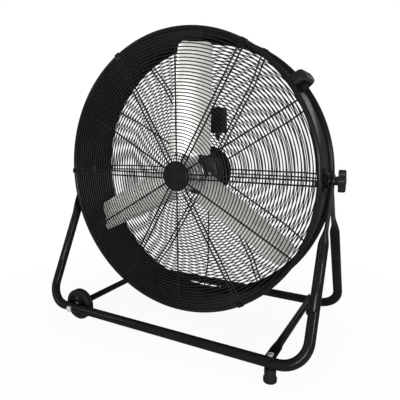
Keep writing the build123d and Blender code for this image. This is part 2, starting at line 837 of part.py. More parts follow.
# ------------------------------ handle -------------------------------
grip_under = handle_height - grip_thickness
half_gap = half_handle - handle_foot_length
handle_side = Plane(
    origin=handle_base.origin,
    x_dir=(0, 1, 0),
    z_dir=-sideways(handle_angle),
)
with BuildPart() as handle:
    with BuildSketch(handle_side):
        with BuildLine():
            Polyline(
                (-half_handle, 0),
                (-half_handle + handle_lean, handle_height),
                (half_handle - handle_lean, handle_height),
                (half_handle, 0),
                (half_gap, 0),
                (half_gap - handle_lean / 2, grip_under),
                (handle_lean / 2 - half_gap, grip_under),
                (-half_gap, 0),
                close=True,
            )
        bow = make_face()
        chamfer(bow.vertices().group_by(Axis.Y)[-1], handle_corner)
    extrude(amount=handle_width / 2, both=True)
    chamfer(handle.faces().filter_by(handle_side).edges(), handle_bevel)
    with BuildSketch(handle_base):
        with Locations((-handle_screw_step, 0), (handle_screw_step, 0)):
            RegularPolygon(handle_screw_shank_radius + running, small_sides, major_radius=False)
    extrude(amount=handle_screw_reach, mode=Mode.SUBTRACT)
save(handle, "handle")

with BuildPart() as handle_screws:
    screw_seat = handle_base.offset(shell_inner - shell_radius - 2 * seat_gap)
    with BuildSketch(screw_seat):
        with Locations((-handle_screw_step, 0), (handle_screw_step, 0)):
            RegularPolygon(handle_screw_head_radius, hex_sides)
    extrude(amount=-handle_screw_head_height)
    with BuildSketch(screw_seat):
        with Locations((-handle_screw_step, 0), (handle_screw_step, 0)):
            RegularPolygon(handle_screw_shank_radius, small_sides)
    extrude(amount=handle_screw_reach)
save(handle_screws, "handle_screws")

# ------------------------------- motor -------------------------------
motor_plate_rear = rear_spoke_depth(motor_plate_radius) - spoke_thickness - seat_gap
motor_plate_front = motor_plate_rear - motor_plate_thickness
motor_rear = motor_plate_front - seat_gap
motor_shell_end = motor_rear - cover_thickness
rear_pocket = motor_shell_end - cover_thickness
pocket_depth = bearing_width + seat_gap
boss_radius = bearing_radius + bearing_wall


def plate_bolt_holes(depth, reach):
    with BuildSketch(axial(depth)) as holes:
        with PolarLocations(plate_bolt_circle_radius, 4, start_angle=45):
            RegularPolygon(plate_bolt_shank_radius + running, hex_sides, major_radius=False)
    extrude(holes.sketch, amount=reach, mode=Mode.SUBTRACT)


with BuildPart() as motor_plate:
    rod(axial(motor_plate_rear), motor_plate_radius, motor_plate_thickness, motor_sides)
    plate_bolt_holes(motor_plate_rear, motor_plate_thickness)
save(motor_plate, "motor_plate")

with BuildPart() as motor_shell:
    rod(axial(motor_shell_end), motor_radius, motor_shell_end - motor_front, motor_sides)
    bore(
        axial(motor_shell_end),
        motor_radius * math.cos(math.pi / motor_sides) - motor_wall,
        motor_shell_end - motor_front,
        motor_sides,
    )
save(motor_shell, "motor_shell")

with BuildPart() as motor_front_cover:
    rod(axial(motor_front - seat_gap), motor_radius, cover_thickness, motor_sides)
    rod(axial(motor_front - cover_thickness), boss_radius, front_boss_height)
    bore(axial(motor_front), bearing_radius, pocket_depth)
    bore(axial(motor_front), shaft_radius + shaft_relief, cover_thickness + front_boss_height + seat_gap)
save(motor_front_cover, "motor_front_cover")

with BuildPart() as motor_rear_cover:
    rod(axial(motor_rear), motor_radius, cover_thickness - seat_gap, motor_sides)
    rod(axial(motor_shell_end + seat_gap), boss_radius, cover_thickness + seat_gap)
    bore(axial(rear_pocket + pocket_depth), bearing_radius, pocket_depth)
    plate_bolt_holes(motor_rear, cover_thickness)
save(motor_rear_cover, "motor_rear_cover")

with BuildPart() as motor_plate_bolts:
    with BuildSketch(axial(motor_plate_rear + seat_gap)):
        with PolarLocations(plate_bolt_circle_radius, 4, start_angle=45):
            RegularPolygon(plate_bolt_head_radius, hex_sides)
    extrude(amount=-plate_bolt_head_height)
    with BuildSketch(axial(motor_plate_rear + seat_gap)):
        with PolarLocations(plate_bolt_circle_radius, 4, start_angle=45):
            RegularPolygon(plate_bolt_shank_radius, hex_sides)
    extrude(amount=motor_plate_thickness + cover_thickness)
save(motor_plate_bolts, "motor_plate_bolts")

with BuildPart() as motor_bearings:
    for start in (motor_front - seat_gap, rear_pocket + bearing_width):
        rod(axial(start), bearing_radius, bearing_width)
        bore(axial(start), shaft_radius + running, bearing_width)
save(motor_bearings, "motor_bearings")

stator_start = motor_front + stator_setback
stator_rear = axial(stator_start + stator_length)
with BuildPart() as motor_stator:
    rod(
        stator_rear,
        motor_radius - motor_wall / math.cos(math.pi / motor_sides) - seat_gap,
        stator_length,
        motor_sides,
    )
    bore(stator_rear, rotor_radius + air_gap, stator_length)
save(motor_stator, "motor_stator")
with BuildPart() as motor_rotor:
    rod(stator_rear, rotor_radius, stator_length)
    bore(stator_rear, shaft_radius + running, stator_length)
save(motor_rotor, "motor_rotor")
shaft_end = rear_pocket + pocket_depth - side_gap
with BuildPart() as motor_shaft:
    rod(axial(shaft_end), shaft_radius, shaft_end - hub_front)
save(motor_shaft, "motor_shaft")

# ----------------------------- impeller ------------------------------
blade_centre = pivot_centre + Vector(0, blade_plane, 0)
blade_angles = [first_blade_angle + step * 360 / blade_count for step in range(blade_count)]
half_tip = blade_tip_chord / 2
corner_cut = blade_corner * (1 - math.sqrt(0.5))  # rounded tip corners as two flats
rivet_radii = (blade_root_radius + rivet_inset, arm_end_radius - rivet_inset)


def chord_way(angle):
    """Unit vector along the blade's chord."""
    pitch = math.radians(blade_pitch)
    return sideways(angle) * math.cos(pitch) - Vector(0, 1, 0) * math.sin(pitch)


def blade_face(angle, height=0.0):
    """Plane along the blade, its x along the radius, at this height in front of the blade's middle."""
    forward = outward(angle).cross(chord_way(angle))
    return Plane(origin=blade_centre + forward * height, x_dir=outward(angle), z_dir=forward)


def blade_section(angle, radius):
    """Plane square to the radius, its x along the blade's chord."""
    middle = blade_centre + outward(angle) * radius
    return Plane(origin=middle, x_dir=chord_way(angle), z_dir=outward(angle))


def camber_points(radius):
    """Blade's section at this distance from the camber's centre, as flats across the chord."""
    half_turn = math.asin(blade_root_chord / 2 / blade_camber_radius)
    turns = [half_turn * (2 * step / camber_flats - 1) for step in range(camber_flats + 1)]
    corner = radius / math.cos(half_turn / camber_flats)
    return [(corner * math.sin(turn), blade_camber_radius - corner * math.cos(turn)) for turn in turns]


def rivet_holes(angle):
    with BuildSketch(blade_face(angle)) as holes:
        with Locations(*[(radius, 0) for radius in rivet_radii]):
            RegularPolygon(rivet_shank_radius + running, hex_sides, major_radius=False)
    extrude(holes.sketch, amount=2 * (blade_thickness + arm_thickness), both=True, mode=Mode.SUBTRACT)


def fan_blade(angle):
    """Cambered sheet blade, narrower at its rounded tip."""
    with BuildPart() as blade:
        with BuildSketch(blade_section(angle, blade_root_radius)):
            with BuildLine():
                Polyline(
                    *camber_points(blade_camber_radius - blade_thickness / 2),
                    *reversed(camber_points(blade_camber_radius + blade_thickness / 2)),
                    close=True,
                )
            make_face()
        extrude(amount=blade_tip_radius - blade_root_radius)
        with BuildSketch(blade_face(angle)) as outline:
            with BuildLine():
                Polyline(
                    (blade_root_radius, -blade_root_chord / 2),
                    (blade_tip_radius - blade_corner, -half_tip),
                    (blade_tip_radius - corner_cut, corner_cut - half_tip),
                    (blade_tip_radius, blade_corner - half_tip),
                    (blade_tip_radius, half_tip - blade_corner),
                    (blade_tip_radius - corner_cut, half_tip - corner_cut),
                    (blade_tip_radius - blade_corner, half_tip),
                    (blade_root_radius, blade_root_chord / 2),
                    close=True,
                )
            make_face()
        extrude(outline.sketch, amount=blade_root_chord / 2, both=True, mode=Mode.INTERSECT)
        rivet_holes(angle)
    return blade


for step, angle in enumerate(blade_angles):
    blade = fan_blade(angle)
    save(blade, f"fan_blade_{step + 1}")

spider_front = blade_plane + blade_thickness / 2 + seat_gap
with BuildPart() as blade_spider:
    rod(axial(spider_front + arm_thickness), spider_radius, arm_thickness, motor_sides)
    for angle in blade_angles:
        with BuildSketch(blade_face(angle, -blade_thickness / 2 - seat_gap)) as arm:
            with BuildLine():
                Polyline(
                    (arm_start_radius, -arm_root_chord / 2),
                    (arm_end_radius, -arm_tip_chord / 2),
                    (arm_end_radius, arm_tip_chord / 2),
                    (arm_start_radius, arm_root_chord / 2),
                    close=True,
                )
            make_face()
            chamfer(arm.vertices().group_by(Axis.X)[-1], arm_corner)
        extrude(amount=-arm_thickness)
        rivet_holes(angle)
    bore(axial(spider_front + arm_thickness), hub_radius, arm_thickness)
save(blade_spider, "blade_spider")

with BuildPart() as fan_hub:
    rod(axial(hub_front + hub_length), hub_radius, hub_length)
    rod(axial(spider_front - seat_gap), flange_radius, flange_thickness)
    bore(axial(hub_front + hub_length), shaft_radius + running, hub_length)
save(fan_hub, "fan_hub")

rivet_seat = blade_thickness / 2 + 2 * seat_gap
with BuildPart() as blade_rivets:
    for angle in blade_angles:
        with BuildSketch(blade_face(angle, rivet_seat)):
            with Locations(*[(radius, 0) for radius in rivet_radii]):
                RegularPolygon(rivet_head_radius, hex_sides)
        extrude(amount=rivet_head_height)
        with BuildSketch(blade_face(angle, rivet_seat)):
            with Locations(*[(radius, 0) for radius in rivet_radii]):
                RegularPolygon(rivet_shank_radius, hex_sides)
        extrude(amount=-(rivet_seat + blade_thickness / 2 + seat_gap + arm_thickness))
save(blade_rivets, "blade_rivets")

# ---------------------------- control box ----------------------------
box_bottom = box_rise - box_height / 2
box_front = rear_spoke_depth(box_bottom) + 2 * seat_gap + wire_thickness
box_back = box_front + box_depth
cover_seat = box_back + seat_gap
dial_face = cover_seat + box_cover_depth + side_gap


def box_plane(depth):
    """Plane across the control box at this depth, seen from the rear."""
    return Plane(origin=(box_x, depth, axis_height + box_rise), x_dir=(-1, 0, 0), z_dir=(0, 1, 0))


def box_block(depth, length):
    """Block with the control box's outline and cut corners."""
    with BuildSketch(box_plane(depth)) as block:
        outline = Rectangle(box_width, box_height)
        chamfer(outline.vertices(), box_corner)
    extrude(block.sketch, amount=length)


gland_seat = Plane(
    origin=(box_x, box_front + box_depth / 2, axis_height + box_bottom - seat_gap),
    x_dir=(1, 0, 0),
    z_dir=(0, 0, -1),
)
gland_inner = gland_seat.offset(-box_wall - 2 * seat_gap)
with BuildPart() as control_box:
    box_block(box_front, box_depth)
    with BuildSketch(box_plane(box_front + box_wall)):
        Rectangle(box_width - 2 * box_wall, box_height - 2 * box_wall)
    extrude(amount=box_depth, mode=Mode.SUBTRACT)
    bore(gland_inner, gland_neck_radius + running, box_wall + 2 * seat_gap, small_sides)
save(control_box, "control_box")
with BuildPart() as control_box_cover:
    box_block(cover_seat, box_cover_depth)
    chamfer(control_box_cover.faces().sort_by(Axis.Y)[-1].edges(), box_bevel)
    bore(box_plane(cover_seat), spindle_radius + running, box_cover_depth, small_sides)
    bore(box_plane(cover_seat), switch_nut_radius, box_cover_depth - box_wall)
save(control_box_cover, "control_box_cover")

with BuildPart() as rotary_switch:
    with BuildSketch(box_plane(box_back - switch_depth)):
        Rectangle(switch_width, switch_width)
    extrude(amount=switch_depth)
    bore(box_plane(box_back - switch_depth), spindle_radius + running, switch_depth, small_sides)
    rod(box_plane(box_back), switch_nut_radius - seat_gap, box_cover_depth - box_wall)
    bore(box_plane(box_back), spindle_radius + running, box_cover_depth - box_wall, small_sides)
save(rotary_switch, "rotary_switch")
spindle_end = box_back - switch_depth + spindle_inset
with BuildPart() as speed_dial:
    rod(box_plane(dial_face), dial_radius, dial_base, motor_sides)
    with BuildSketch(box_plane(dial_face + dial_base)):
        grip = Rectangle(2 * dial_radius - dial_base, dial_grip)
        chamfer(grip.vertices(), dial_base)
    extrude(amount=dial_height - dial_base)
    rod(box_plane(dial_face), spindle_radius, spindle_end - dial_face, small_sides)
save(speed_dial, "speed_dial")
with BuildPart() as cable_gland:
    hexagon(gland_seat, 2 * gland_radius, gland_nut_height)
    rod(gland_inner, gland_neck_radius, box_wall + 2 * seat_gap + gland_length, small_sides)
    bore(gland_inner, gland_bore_radius, box_wall + 2 * seat_gap + gland_length, small_sides)
save(cable_gland, "cable_gland")
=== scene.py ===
import math
import bpy
import numpy as np
from mathutils import Matrix, Vector


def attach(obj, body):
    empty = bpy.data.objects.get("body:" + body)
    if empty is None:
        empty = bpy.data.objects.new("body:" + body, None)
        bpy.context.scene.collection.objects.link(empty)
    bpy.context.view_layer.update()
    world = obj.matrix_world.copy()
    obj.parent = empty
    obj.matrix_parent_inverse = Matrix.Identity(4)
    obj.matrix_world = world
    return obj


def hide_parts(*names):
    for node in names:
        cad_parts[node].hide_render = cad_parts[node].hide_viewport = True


# Drum fan on a wheeled tube stand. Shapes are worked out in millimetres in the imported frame
# and turned into metres when a piece is made. The drum's axis lies along Y, 446 above the floor.
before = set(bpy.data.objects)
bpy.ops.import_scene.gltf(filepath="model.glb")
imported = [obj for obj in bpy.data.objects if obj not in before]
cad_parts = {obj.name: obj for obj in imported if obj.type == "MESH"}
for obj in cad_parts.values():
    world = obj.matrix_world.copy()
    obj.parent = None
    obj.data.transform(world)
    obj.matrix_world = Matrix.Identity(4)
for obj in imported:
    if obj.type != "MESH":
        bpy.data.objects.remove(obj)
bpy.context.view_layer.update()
print("packed frame loaded")

millimetre = 0.001
axisHeight = 446.0
quarterTurn = np.pi / 2
alongX, alongY, alongZ = np.eye(3)
drumCentre = axisHeight * alongZ
square = np.array([(-1.0, -1.0), (1.0, -1.0), (1.0, 1.0), (-1.0, 1.0)])
# Half angle past which a corner counts as straight, and the share of a leg that an arc may take.
cornerLimit = {"straight": 1.56, "reach": 0.49}


# Every corner of the line is replaced by an arc that touches both of its legs. The arc's points
# turn evenly: middle + (sin((1 - s) turn) start + sin(s turn) end) / sin(turn), s from 0 to 1.
def rounded(corners, radii, steps, closed=True):
    corners = np.asarray(corners, float)
    radii = np.broadcast_to(radii, len(corners))
    parts = []
    for place, corner in enumerate(corners):
        isEnd = not closed and place in (0, len(corners) - 1)
        back = corners[place - 1] - corner
        ahead = corners[(place + 1) % len(corners)] - corner
        backLength, aheadLength = np.linalg.norm(back), np.linalg.norm(ahead)
        back, ahead = back / backLength, ahead / aheadLength
        half = 0.5 * math.acos(np.clip(back @ ahead, -1, 1))
        if isEnd or radii[place] <= 0 or half > cornerLimit["straight"]:
            parts.append(corner[None])
            continue
        longest = cornerLimit["reach"] * min(backLength, aheadLength)
        reach = min(radii[place] / math.tan(half), longest)
        bisector = (back + ahead) / np.linalg.norm(back + ahead)
        middle = corner + bisector * reach / math.cos(half)
        start, end = corner + back * reach - middle, corner + ahead * reach - middle
        turn = math.pi - 2 * half
        share = np.linspace(0, 1, steps + 1)[:, None]
        arc = np.sin((1 - share) * turn) * start + np.sin(share * turn) * end
        parts.append(middle + arc / math.sin(turn))
    return np.vstack(parts)


# Angles once round, without the last, which is the first again.
def fullTurn(sides):
    return np.linspace(0, 2 * np.pi, sides, endpoint=False)


# Circle of points, (r cos t, r sin t).
def circle(radius, sides):
    turn = fullTurn(sides)
    return radius * np.column_stack([np.cos(turn), np.sin(turn)])


# Directions at an angle round the drum's axis: outwards from it, and sideways, a quarter turn on.
def radialAxes(angle):
    outwards = math.cos(angle) * alongX + math.sin(angle) * alongZ
    sideways = -math.sin(angle) * alongX + math.cos(angle) * alongZ
    return outwards, sideways


# Surface round an axis: origin + a axis + r (cos t start + sin t side), with t once round. The
# distance r and the place a are grids of a row for each ring and a column for each t, or one.
def revolved(reach, level, origin, axis, start, sides):
    turn = fullTurn(sides)[:, None]
    spokes = np.cos(turn) * start + np.sin(turn) * np.cross(axis, start)
    return origin + level[..., None] * axis + reach[..., None] * spokes


# Turned surface of a profile of points (r, a). A profile that closes on itself makes a ring, and
# any other gets a cap at each end.
def turned(profile, origin, axis, start, sides, ring):
    profile = np.asarray(profile, float)
    grid = revolved(profile[:, :1], profile[:, 1:], origin, axis, start, sides)
    return grid, "closed" if ring else "fan"


# Turned surface from a dictionary, whose profile gets its corners rounded first.
def turnedShape(shape, origin, axis=alongY, start=alongX):
    ring = shape.get("ring", True)
    profile = rounded(shape["profile"], shape["rounding"], shape["steps"], ring)
    return turned(profile, origin, axis, start, shape["sides"], ring)


# Swept surface: the section's first number lies across the path, square to the normal, and its
# second lies along the normal. The section may change from point to point of the path.
def swept(path, section, normal, ends="fan"):
    if ends == "closed":
        heading = np.roll(path, -1, axis=0) - np.roll(path, 1, axis=0)
    else:
        heading = np.gradient(path, axis=0)
    heading = heading / np.linalg.norm(heading, axis=1, keepdims=True)
    across = np.cross(heading, normal)
    across = across / np.linalg.norm(across, axis=1, keepdims=True)
    section = np.broadcast_to(section, (len(path),) + np.shape(section)[-2:])
    return path[:, None] + section[..., :1] * across[:, None] + section[..., 1:] * normal, ends


# Layered surface: the same outline at several levels, each pulled in along its own normals by
# the level's inset. Levels are measured from the origin along across x up.
def layered(outline, levels, origin, across, up):
    following = np.roll(outline, -1, axis=0)
    area = np.sum(outline[:, 0] * following[:, 1] - following[:, 0] * outline[:, 1])
    if area < 0:
        outline = outline[::-1]
    tangent = np.roll(outline, -1, axis=0) - np.roll(outline, 1, axis=0)
    tangent = tangent / np.linalg.norm(tangent, axis=1, keepdims=True)
    outwards = np.column_stack([tangent[:, 1], -tangent[:, 0]])
    inset, level = np.array(levels, float).T[:, :, None, None]
    flat = outline - outwards * inset
    height = np.cross(across, up)
    return origin + flat[..., :1] * across + flat[..., 1:] * up + level * height, "fan"


# Sheet of even thickness: the middle surface is moved half the thickness each way along its
# own normal, and the two sides are joined round all four edges.
def sheetSolid(middle, thickness):
    normal = np.cross(np.gradient(middle, axis=0), np.gradient(middle, axis=1))
    normal = normal / np.linalg.norm(normal, axis=2, keepdims=True)
    top = middle + normal * thickness / 2
    bottom = middle - normal * thickness / 2
    return np.concatenate([top, bottom[:, ::-1]], axis=1), "strip"


# Faces of a grid whose rows close on themselves: a quad for each cell, and at the two ends
# either the first row again, a fan of triangles about the row's middle, or a strip of quads
# from one half of the row to the other.
def surfaceFaces(grid, ends):
    rows, columns = grid.shape[:2]
    index = np.arange(rows * columns).reshape(rows, columns)
    nextColumn = np.roll(index, -1, axis=1)
    if ends == "closed":
        nextRow = np.roll(index, -1, axis=0)
        quads = np.stack([index, nextRow, np.roll(nextRow, -1, axis=1), nextColumn], axis=-1)
    else:
        quads = np.stack([index[:-1], index[1:], nextColumn[1:], nextColumn[:-1]], axis=-1)
    quads = quads.reshape(-1, 4)
    points = grid.reshape(-1, 3)
    triangles = np.zeros((0, 3), int)
    if ends == "fan":
        points = np.vstack([points, grid[[0, -1]].mean(axis=1)])
        hub = np.full(columns, rows * columns)
        first = np.column_stack([index[0], nextColumn[0], hub])
        last = np.column_stack([nextColumn[-1], index[-1], hub + 1])
        triangles = np.vstack([first, last])
    if ends == "strip":
        half = columns // 2
        for row, order in ((index[0], 1), (index[-1], -1)):
            mirror = row[::-1]
            cap = [row[: half - 1], row[1:half], mirror[1:half], mirror[: half - 1]]
            quads = np.vstack([quads, np.column_stack(cap)[:, ::order]])
    # The volume inside comes out negative if the faces look inwards.
    wedge = np.vstack([quads[:, :3], quads[:, [0, 2, 3]], triangles])
    corner = points[wedge] - points.mean(axis=0)
    if np.einsum("ij,ij->", corner[:, 0], np.cross(corner[:, 1], corner[:, 2])) < 0:
        quads, triangles = quads[:, ::-1], triangles[:, ::-1]
    return points, quads, triangles


# One object from its surfaces, named after the node that it stands for: drum_shell, drumShell.
def makePiece(node, surfaces, body, finish, sharpAngle=32):
    material, slot = finish
    allPoints, allFaces, shift = [], [], 0
    for grid, ends in surfaces:
        points, quads, triangles = surfaceFaces(grid, ends)
        allPoints.append(points)
        allFaces += (quads + shift).tolist() + (triangles + shift).tolist()
        shift += len(points)
    firstWord, *otherWords = node.split("_")
    name = firstWord + "".join(word.capitalize() for word in otherWords)
    mesh = bpy.data.meshes.new(name)
    mesh.from_pydata((np.vstack(allPoints) * millimetre).tolist(), [], allFaces)
    mesh.shade_smooth()
    mesh.set_sharp_from_angle(angle=math.radians(sharpAngle))
    mesh.materials.append(material)
    piece = bpy.data.objects.new(name, mesh)
    bpy.context.scene.collection.objects.link(piece)
    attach(piece, body)
    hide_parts(node)


# New node material, with its tree, its shader and its object coordinates.
def newMaterial(name):
    material = bpy.data.materials.new(name)
    material.use_nodes = True
    tree = material.node_tree
    place = tree.nodes.new("ShaderNodeTexCoord").outputs["Object"]
    return material, tree, tree.nodes["Principled BSDF"], place


# Noise at the coordinates times the stretch.
def noiseFrom(tree, place, scale, detail, stretch=(1, 1, 1)):
    mapping = tree.nodes.new("ShaderNodeMapping")
    mapping.inputs["Scale"].default_value = stretch
    tree.links.new(place, mapping.inputs["Vector"])
    noise = tree.nodes.new("ShaderNodeTexNoise")
    noise.inputs["Scale"].default_value = scale
    noise.inputs["Detail"].default_value = detail
    tree.links.new(mapping.outputs["Vector"], noise.inputs["Vector"])
    return noise.outputs["Fac"]


# Straight line from the first range's ends to the second's, or an S curve between them.
def rangeFrom(tree, source, fromRange, toRange, curve="LINEAR"):
    reach = tree.nodes.new("ShaderNodeMapRange")
    reach.interpolation_type = curve
    reach.inputs["From Min"].default_value, reach.inputs["From Max"].default_value = fromRange
    reach.inputs["To Min"].default_value, reach.inputs["To Max"].default_value = toRange
    tree.links.new(source, reach.inputs["Value"])
    return reach.outputs["Result"]


# Colour that goes from the first to the second as the share goes from 0 to 1.
def colourFrom(tree, share, first, second):
    mix = tree.nodes.new("ShaderNodeMix")
    mix.data_type = "RGBA"
    mix.inputs["A"].default_value = (*first, 1)
    mix.inputs["B"].default_value = (*second, 1)
    tree.links.new(share, mix.inputs["Factor"])
    return mix.outputs["Result"]


# Bump as deep as the depth in metres where the height goes from 0 to 1.
def bumpFrom(tree, height, strength, depth):
    bump = tree.nodes.new("ShaderNodeBump")
    bump.inputs["Strength"].default_value = strength
    bump.inputs["Distance"].default_value = depth
    tree.links.new(height, bump.inputs["Height"])
    return bump.outputs["Normal"]


# Noise settings that all the plain finishes share.
finishNoise = {"patchDetail": 5.0, "patchRange": (0.35, 0.68), "smudgeDetail": 6.0,
               "smudgeRange": (0.32, 0.72), "grainDetail": 3.0, "grainStrength": 0.6}


# A finish has two colours in soft patches, a roughness that changes in smudges, and a fine
# grain. The black paints, plastics and rubbers shine by a thin coat alone, and the other
# finishes by their own gloss. It is returned together with the name of its slot.
def surfaceFinish(name, slot, light, dark, patches, smudges, roughness, grain, depth,
                  metallic=0.0, specular=0.5, coat=0.0, stretch=(1, 1, 1)):
    material, tree, shader, place = newMaterial(name)
    patchNoise = noiseFrom(tree, place, patches, finishNoise["patchDetail"], stretch)
    share = rangeFrom(tree, patchNoise, finishNoise["patchRange"], (0.0, 1.0))
    tree.links.new(colourFrom(tree, share, dark, light), shader.inputs["Base Color"])
    smudgeNoise = noiseFrom(tree, place, smudges, finishNoise["smudgeDetail"], stretch)
    gloss = rangeFrom(tree, smudgeNoise, finishNoise["smudgeRange"], roughness)
    tree.links.new(gloss, shader.inputs["Roughness"])
    grainNoise = noiseFrom(tree, place, grain, finishNoise["grainDetail"], stretch)
    normal = bumpFrom(tree, grainNoise, finishNoise["grainStrength"], depth)
    tree.links.new(normal, shader.inputs["Normal"])
    shader.inputs["Metallic"].default_value = metallic
    shader.inputs["Specular IOR Level"].default_value = specular
    if coat > 0:
        shader.inputs["Coat Weight"].default_value = coat
        tree.links.new(gloss, shader.inputs["Coat Roughness"])
        tree.links.new(normal, shader.inputs["Coat Normal"])
    return material, slot


glossBlack = surfaceFinish(
    "glossBlackPaint", "black_paint", (0.0052, 0.0052, 0.0054), (0.0034, 0.0034, 0.0036),
    patches=14, smudges=26, roughness=(0.13, 0.26), grain=620, depth=0.00004,
    specular=0.0, coat=0.10)
drumBlack = surfaceFinish(
    "drumBlackPaint", "black_paint", (0.0066, 0.0068, 0.0070), (0.0042, 0.0043, 0.0045),
    patches=9, smudges=16, roughness=(0.13, 0.28), grain=520, depth=0.00005,
    specular=0.0, coat=0.09)
wireBlack = surfaceFinish(
    "wireBlackCoat", "black_wire", (0.0105, 0.0105, 0.0108), (0.0065, 0.0065, 0.0068),
    patches=30, smudges=60, roughness=(0.22, 0.40), grain=900, depth=0.00003,
    specular=0.0, coat=0.10)
motorBlack = surfaceFinish(
    "motorPaint", "motor_paint", (0.010, 0.010, 0.011), (0.006, 0.006, 0.007),
    patches=24, smudges=40, roughness=(0.34, 0.52), grain=480, depth=0.00009,
    specular=0.0, coat=0.25)
coverGrey = surfaceFinish(
    "motorCoverPaint", "motor_cover", (0.018, 0.018, 0.020), (0.011, 0.011, 0.012),
    patches=24, smudges=40, roughness=(0.38, 0.58), grain=380, depth=0.00012, specular=0.3)
zincPlate = surfaceFinish(
    "zincPlate", "zinc", (0.66, 0.67, 0.68), (0.48, 0.49, 0.51),
    patches=150, smudges=240, roughness=(0.22, 0.42), grain=1400, depth=0.00003, metallic=1.0)
darkZinc = surfaceFinish(
    "darkZincPlate", "zinc", (0.085, 0.085, 0.090), (0.055, 0.055, 0.060),
    patches=150, smudges=240, roughness=(0.26, 0.44), grain=1400, depth=0.00003, metallic=1.0)
plainSteel = surfaceFinish(
    "plainSteel", "steel", (0.42, 0.41, 0.40), (0.30, 0.29, 0.28),
    patches=120, smudges=200, roughness=(0.28, 0.48), grain=1600, depth=0.00003, metallic=1.0)
coreSheets = surfaceFinish(
    "coreSheets", "laminations", (0.24, 0.23, 0.22), (0.14, 0.13, 0.12),
    patches=90, smudges=160, roughness=(0.42, 0.62), grain=900, depth=0.00008,
    metallic=1.0, stretch=(1, 9, 1))
castAluminium = surfaceFinish(
    "castAluminium", "cast_aluminium", (0.56, 0.56, 0.57), (0.42, 0.42, 0.43),
    patches=60, smudges=110, roughness=(0.36, 0.58), grain=520, depth=0.00014, metallic=1.0)
mouldedBlack = surfaceFinish(
    "mouldedBlackPlastic", "black_plastic", (0.0075, 0.0075, 0.0080), (0.0048, 0.0048, 0.0052),
    patches=40, smudges=70, roughness=(0.24, 0.40), grain=1100, depth=0.00007,
    specular=0.0, coat=0.15)
switchPlastic = surfaceFinish(
    "switchPlastic", "switch_plastic", (0.040, 0.040, 0.038), (0.026, 0.026, 0.025),
    patches=60, smudges=80, roughness=(0.42, 0.56), grain=1000, depth=0.00006)
tyreRubber = surfaceFinish(
    "tyreRubber", "tyre_rubber", (0.0065, 0.0065, 0.0065), (0.0036, 0.0036, 0.0036),
    patches=45, smudges=60, roughness=(0.55, 0.82), grain=700, depth=0.00016,
    specular=0.0, coat=0.20)
footRubber = surfaceFinish(
    "footRubber", "foot_rubber", (0.0060, 0.0060, 0.0060), (0.0034, 0.0034, 0.0034),
    patches=55, smudges=70, roughness=(0.52, 0.78), grain=800, depth=0.00014,
    specular=0.0, coat=0.15)
washerNylon = surfaceFinish(
    "washerNylon", "nylon_washer", (0.0060, 0.0060, 0.0065), (0.0035, 0.0035, 0.0040),
    patches=70, smudges=90, roughness=(0.34, 0.50), grain=1200, depth=0.00005, specular=0.3)
badgeBlack = surfaceFinish(
    "badgeSatin", "badge", (0.0065, 0.0055, 0.0060), (0.0040, 0.0034, 0.0038),
    patches=35, smudges=50, roughness=(0.24, 0.38), grain=900, depth=0.00004,
    specular=0.0, coat=0.12)

bladeLook = {"dark": (0.40, 0.39, 0.37), "light": (0.54, 0.53, 0.51), "metallic": 0.2,
             "streaks": 9, "stretch": (3, 90, 90), "smudges": 14, "detail": 5.0,
             "noiseRange": (0.3, 0.7), "roughness": (0.26, 0.36),
             "strength": 0.5, "depth": 0.00003}


# Rolled sheet: streaks that run along the blade, whose angle is in degrees, and faint smudges.
def bladeFinish(name, angle, look=bladeLook):
    material, tree, shader, place = newMaterial(name)
    turnBack = tree.nodes.new("ShaderNodeMapping")
    turnBack.inputs["Rotation"].default_value = (0, math.radians(angle), 0)
    tree.links.new(place, turnBack.inputs["Vector"])
    bladePlace = turnBack.outputs["Vector"]
    streaks = noiseFrom(tree, bladePlace, look["streaks"], look["detail"], look["stretch"])
    smudges = noiseFrom(tree, place, look["smudges"], look["detail"])
    share = rangeFrom(tree, streaks, look["noiseRange"], (0.0, 1.0))
    colour = colourFrom(tree, share, look["dark"], look["light"])
    tree.links.new(colour, shader.inputs["Base Color"])
    gloss = rangeFrom(tree, smudges, look["noiseRange"], look["roughness"])
    tree.links.new(gloss, shader.inputs["Roughness"])
    normal = bumpFrom(tree, streaks, look["strength"], look["depth"])
    tree.links.new(normal, shader.inputs["Normal"])
    shader.inputs["Metallic"].default_value = look["metallic"]
    return material, "blade_sheet"


print("materials made")

# The shell's profile is a thin wall with a rolled bead at each rim and a lip behind the rear one.
shellSize = {
    "rim": 390.0, "bead": 12.5, "front": -80.0, "rear": 80.0, "outside": 381.0, "wall": 1.5,
    "shoulder": 2.0, "lip": 368.5, "lipFront": 3.0, "lipRear": 1.2, "steps": 5, "sides": 240,
    "rounding": [5.6, 5.6, 4.5, 3.0, 3.0, 4.5, 5.6, 2.0, 0.7, 0.7, 0.5, 2.5, 2.0, 2.0, 3.5],
    "sharp": 40,
}


# Corners of the shell's profile, from the front bead's inner edge round to it again.
def shellProfile(size):
    rim, outside, lip = size["rim"], size["outside"], size["lip"]
    front, rear = size["front"], size["rear"]
    beadInner = rim - size["bead"]
    inside = outside - size["wall"]
    frontBead, rearBead = front + size["bead"], rear - size["bead"]
    frontWall, rearWall = frontBead + size["shoulder"], rearBead - size["shoulder"]
    lipFront, lipRear = rear - size["lipFront"], rear - size["lipRear"]
    return [
        (beadInner, front), (rim, front), (rim, frontBead), (outside, frontWall),
        (outside, rearWall), (rim, rearBead), (rim, rear), (beadInner, rear),
        (lip, lipRear), (lip, lipFront), (beadInner, lipFront), (beadInner, rearBead),
        (inside, rearWall), (inside, frontWall), (beadInner, frontBead),
    ]


shellShape = {"profile": shellProfile(shellSize), **shellSize}
drumShell = turnedShape(shellShape, drumCentre)
makePiece("drum_shell", [drumShell], "drum", drumBlack, shellSize["sharp"])
print("drum shell")

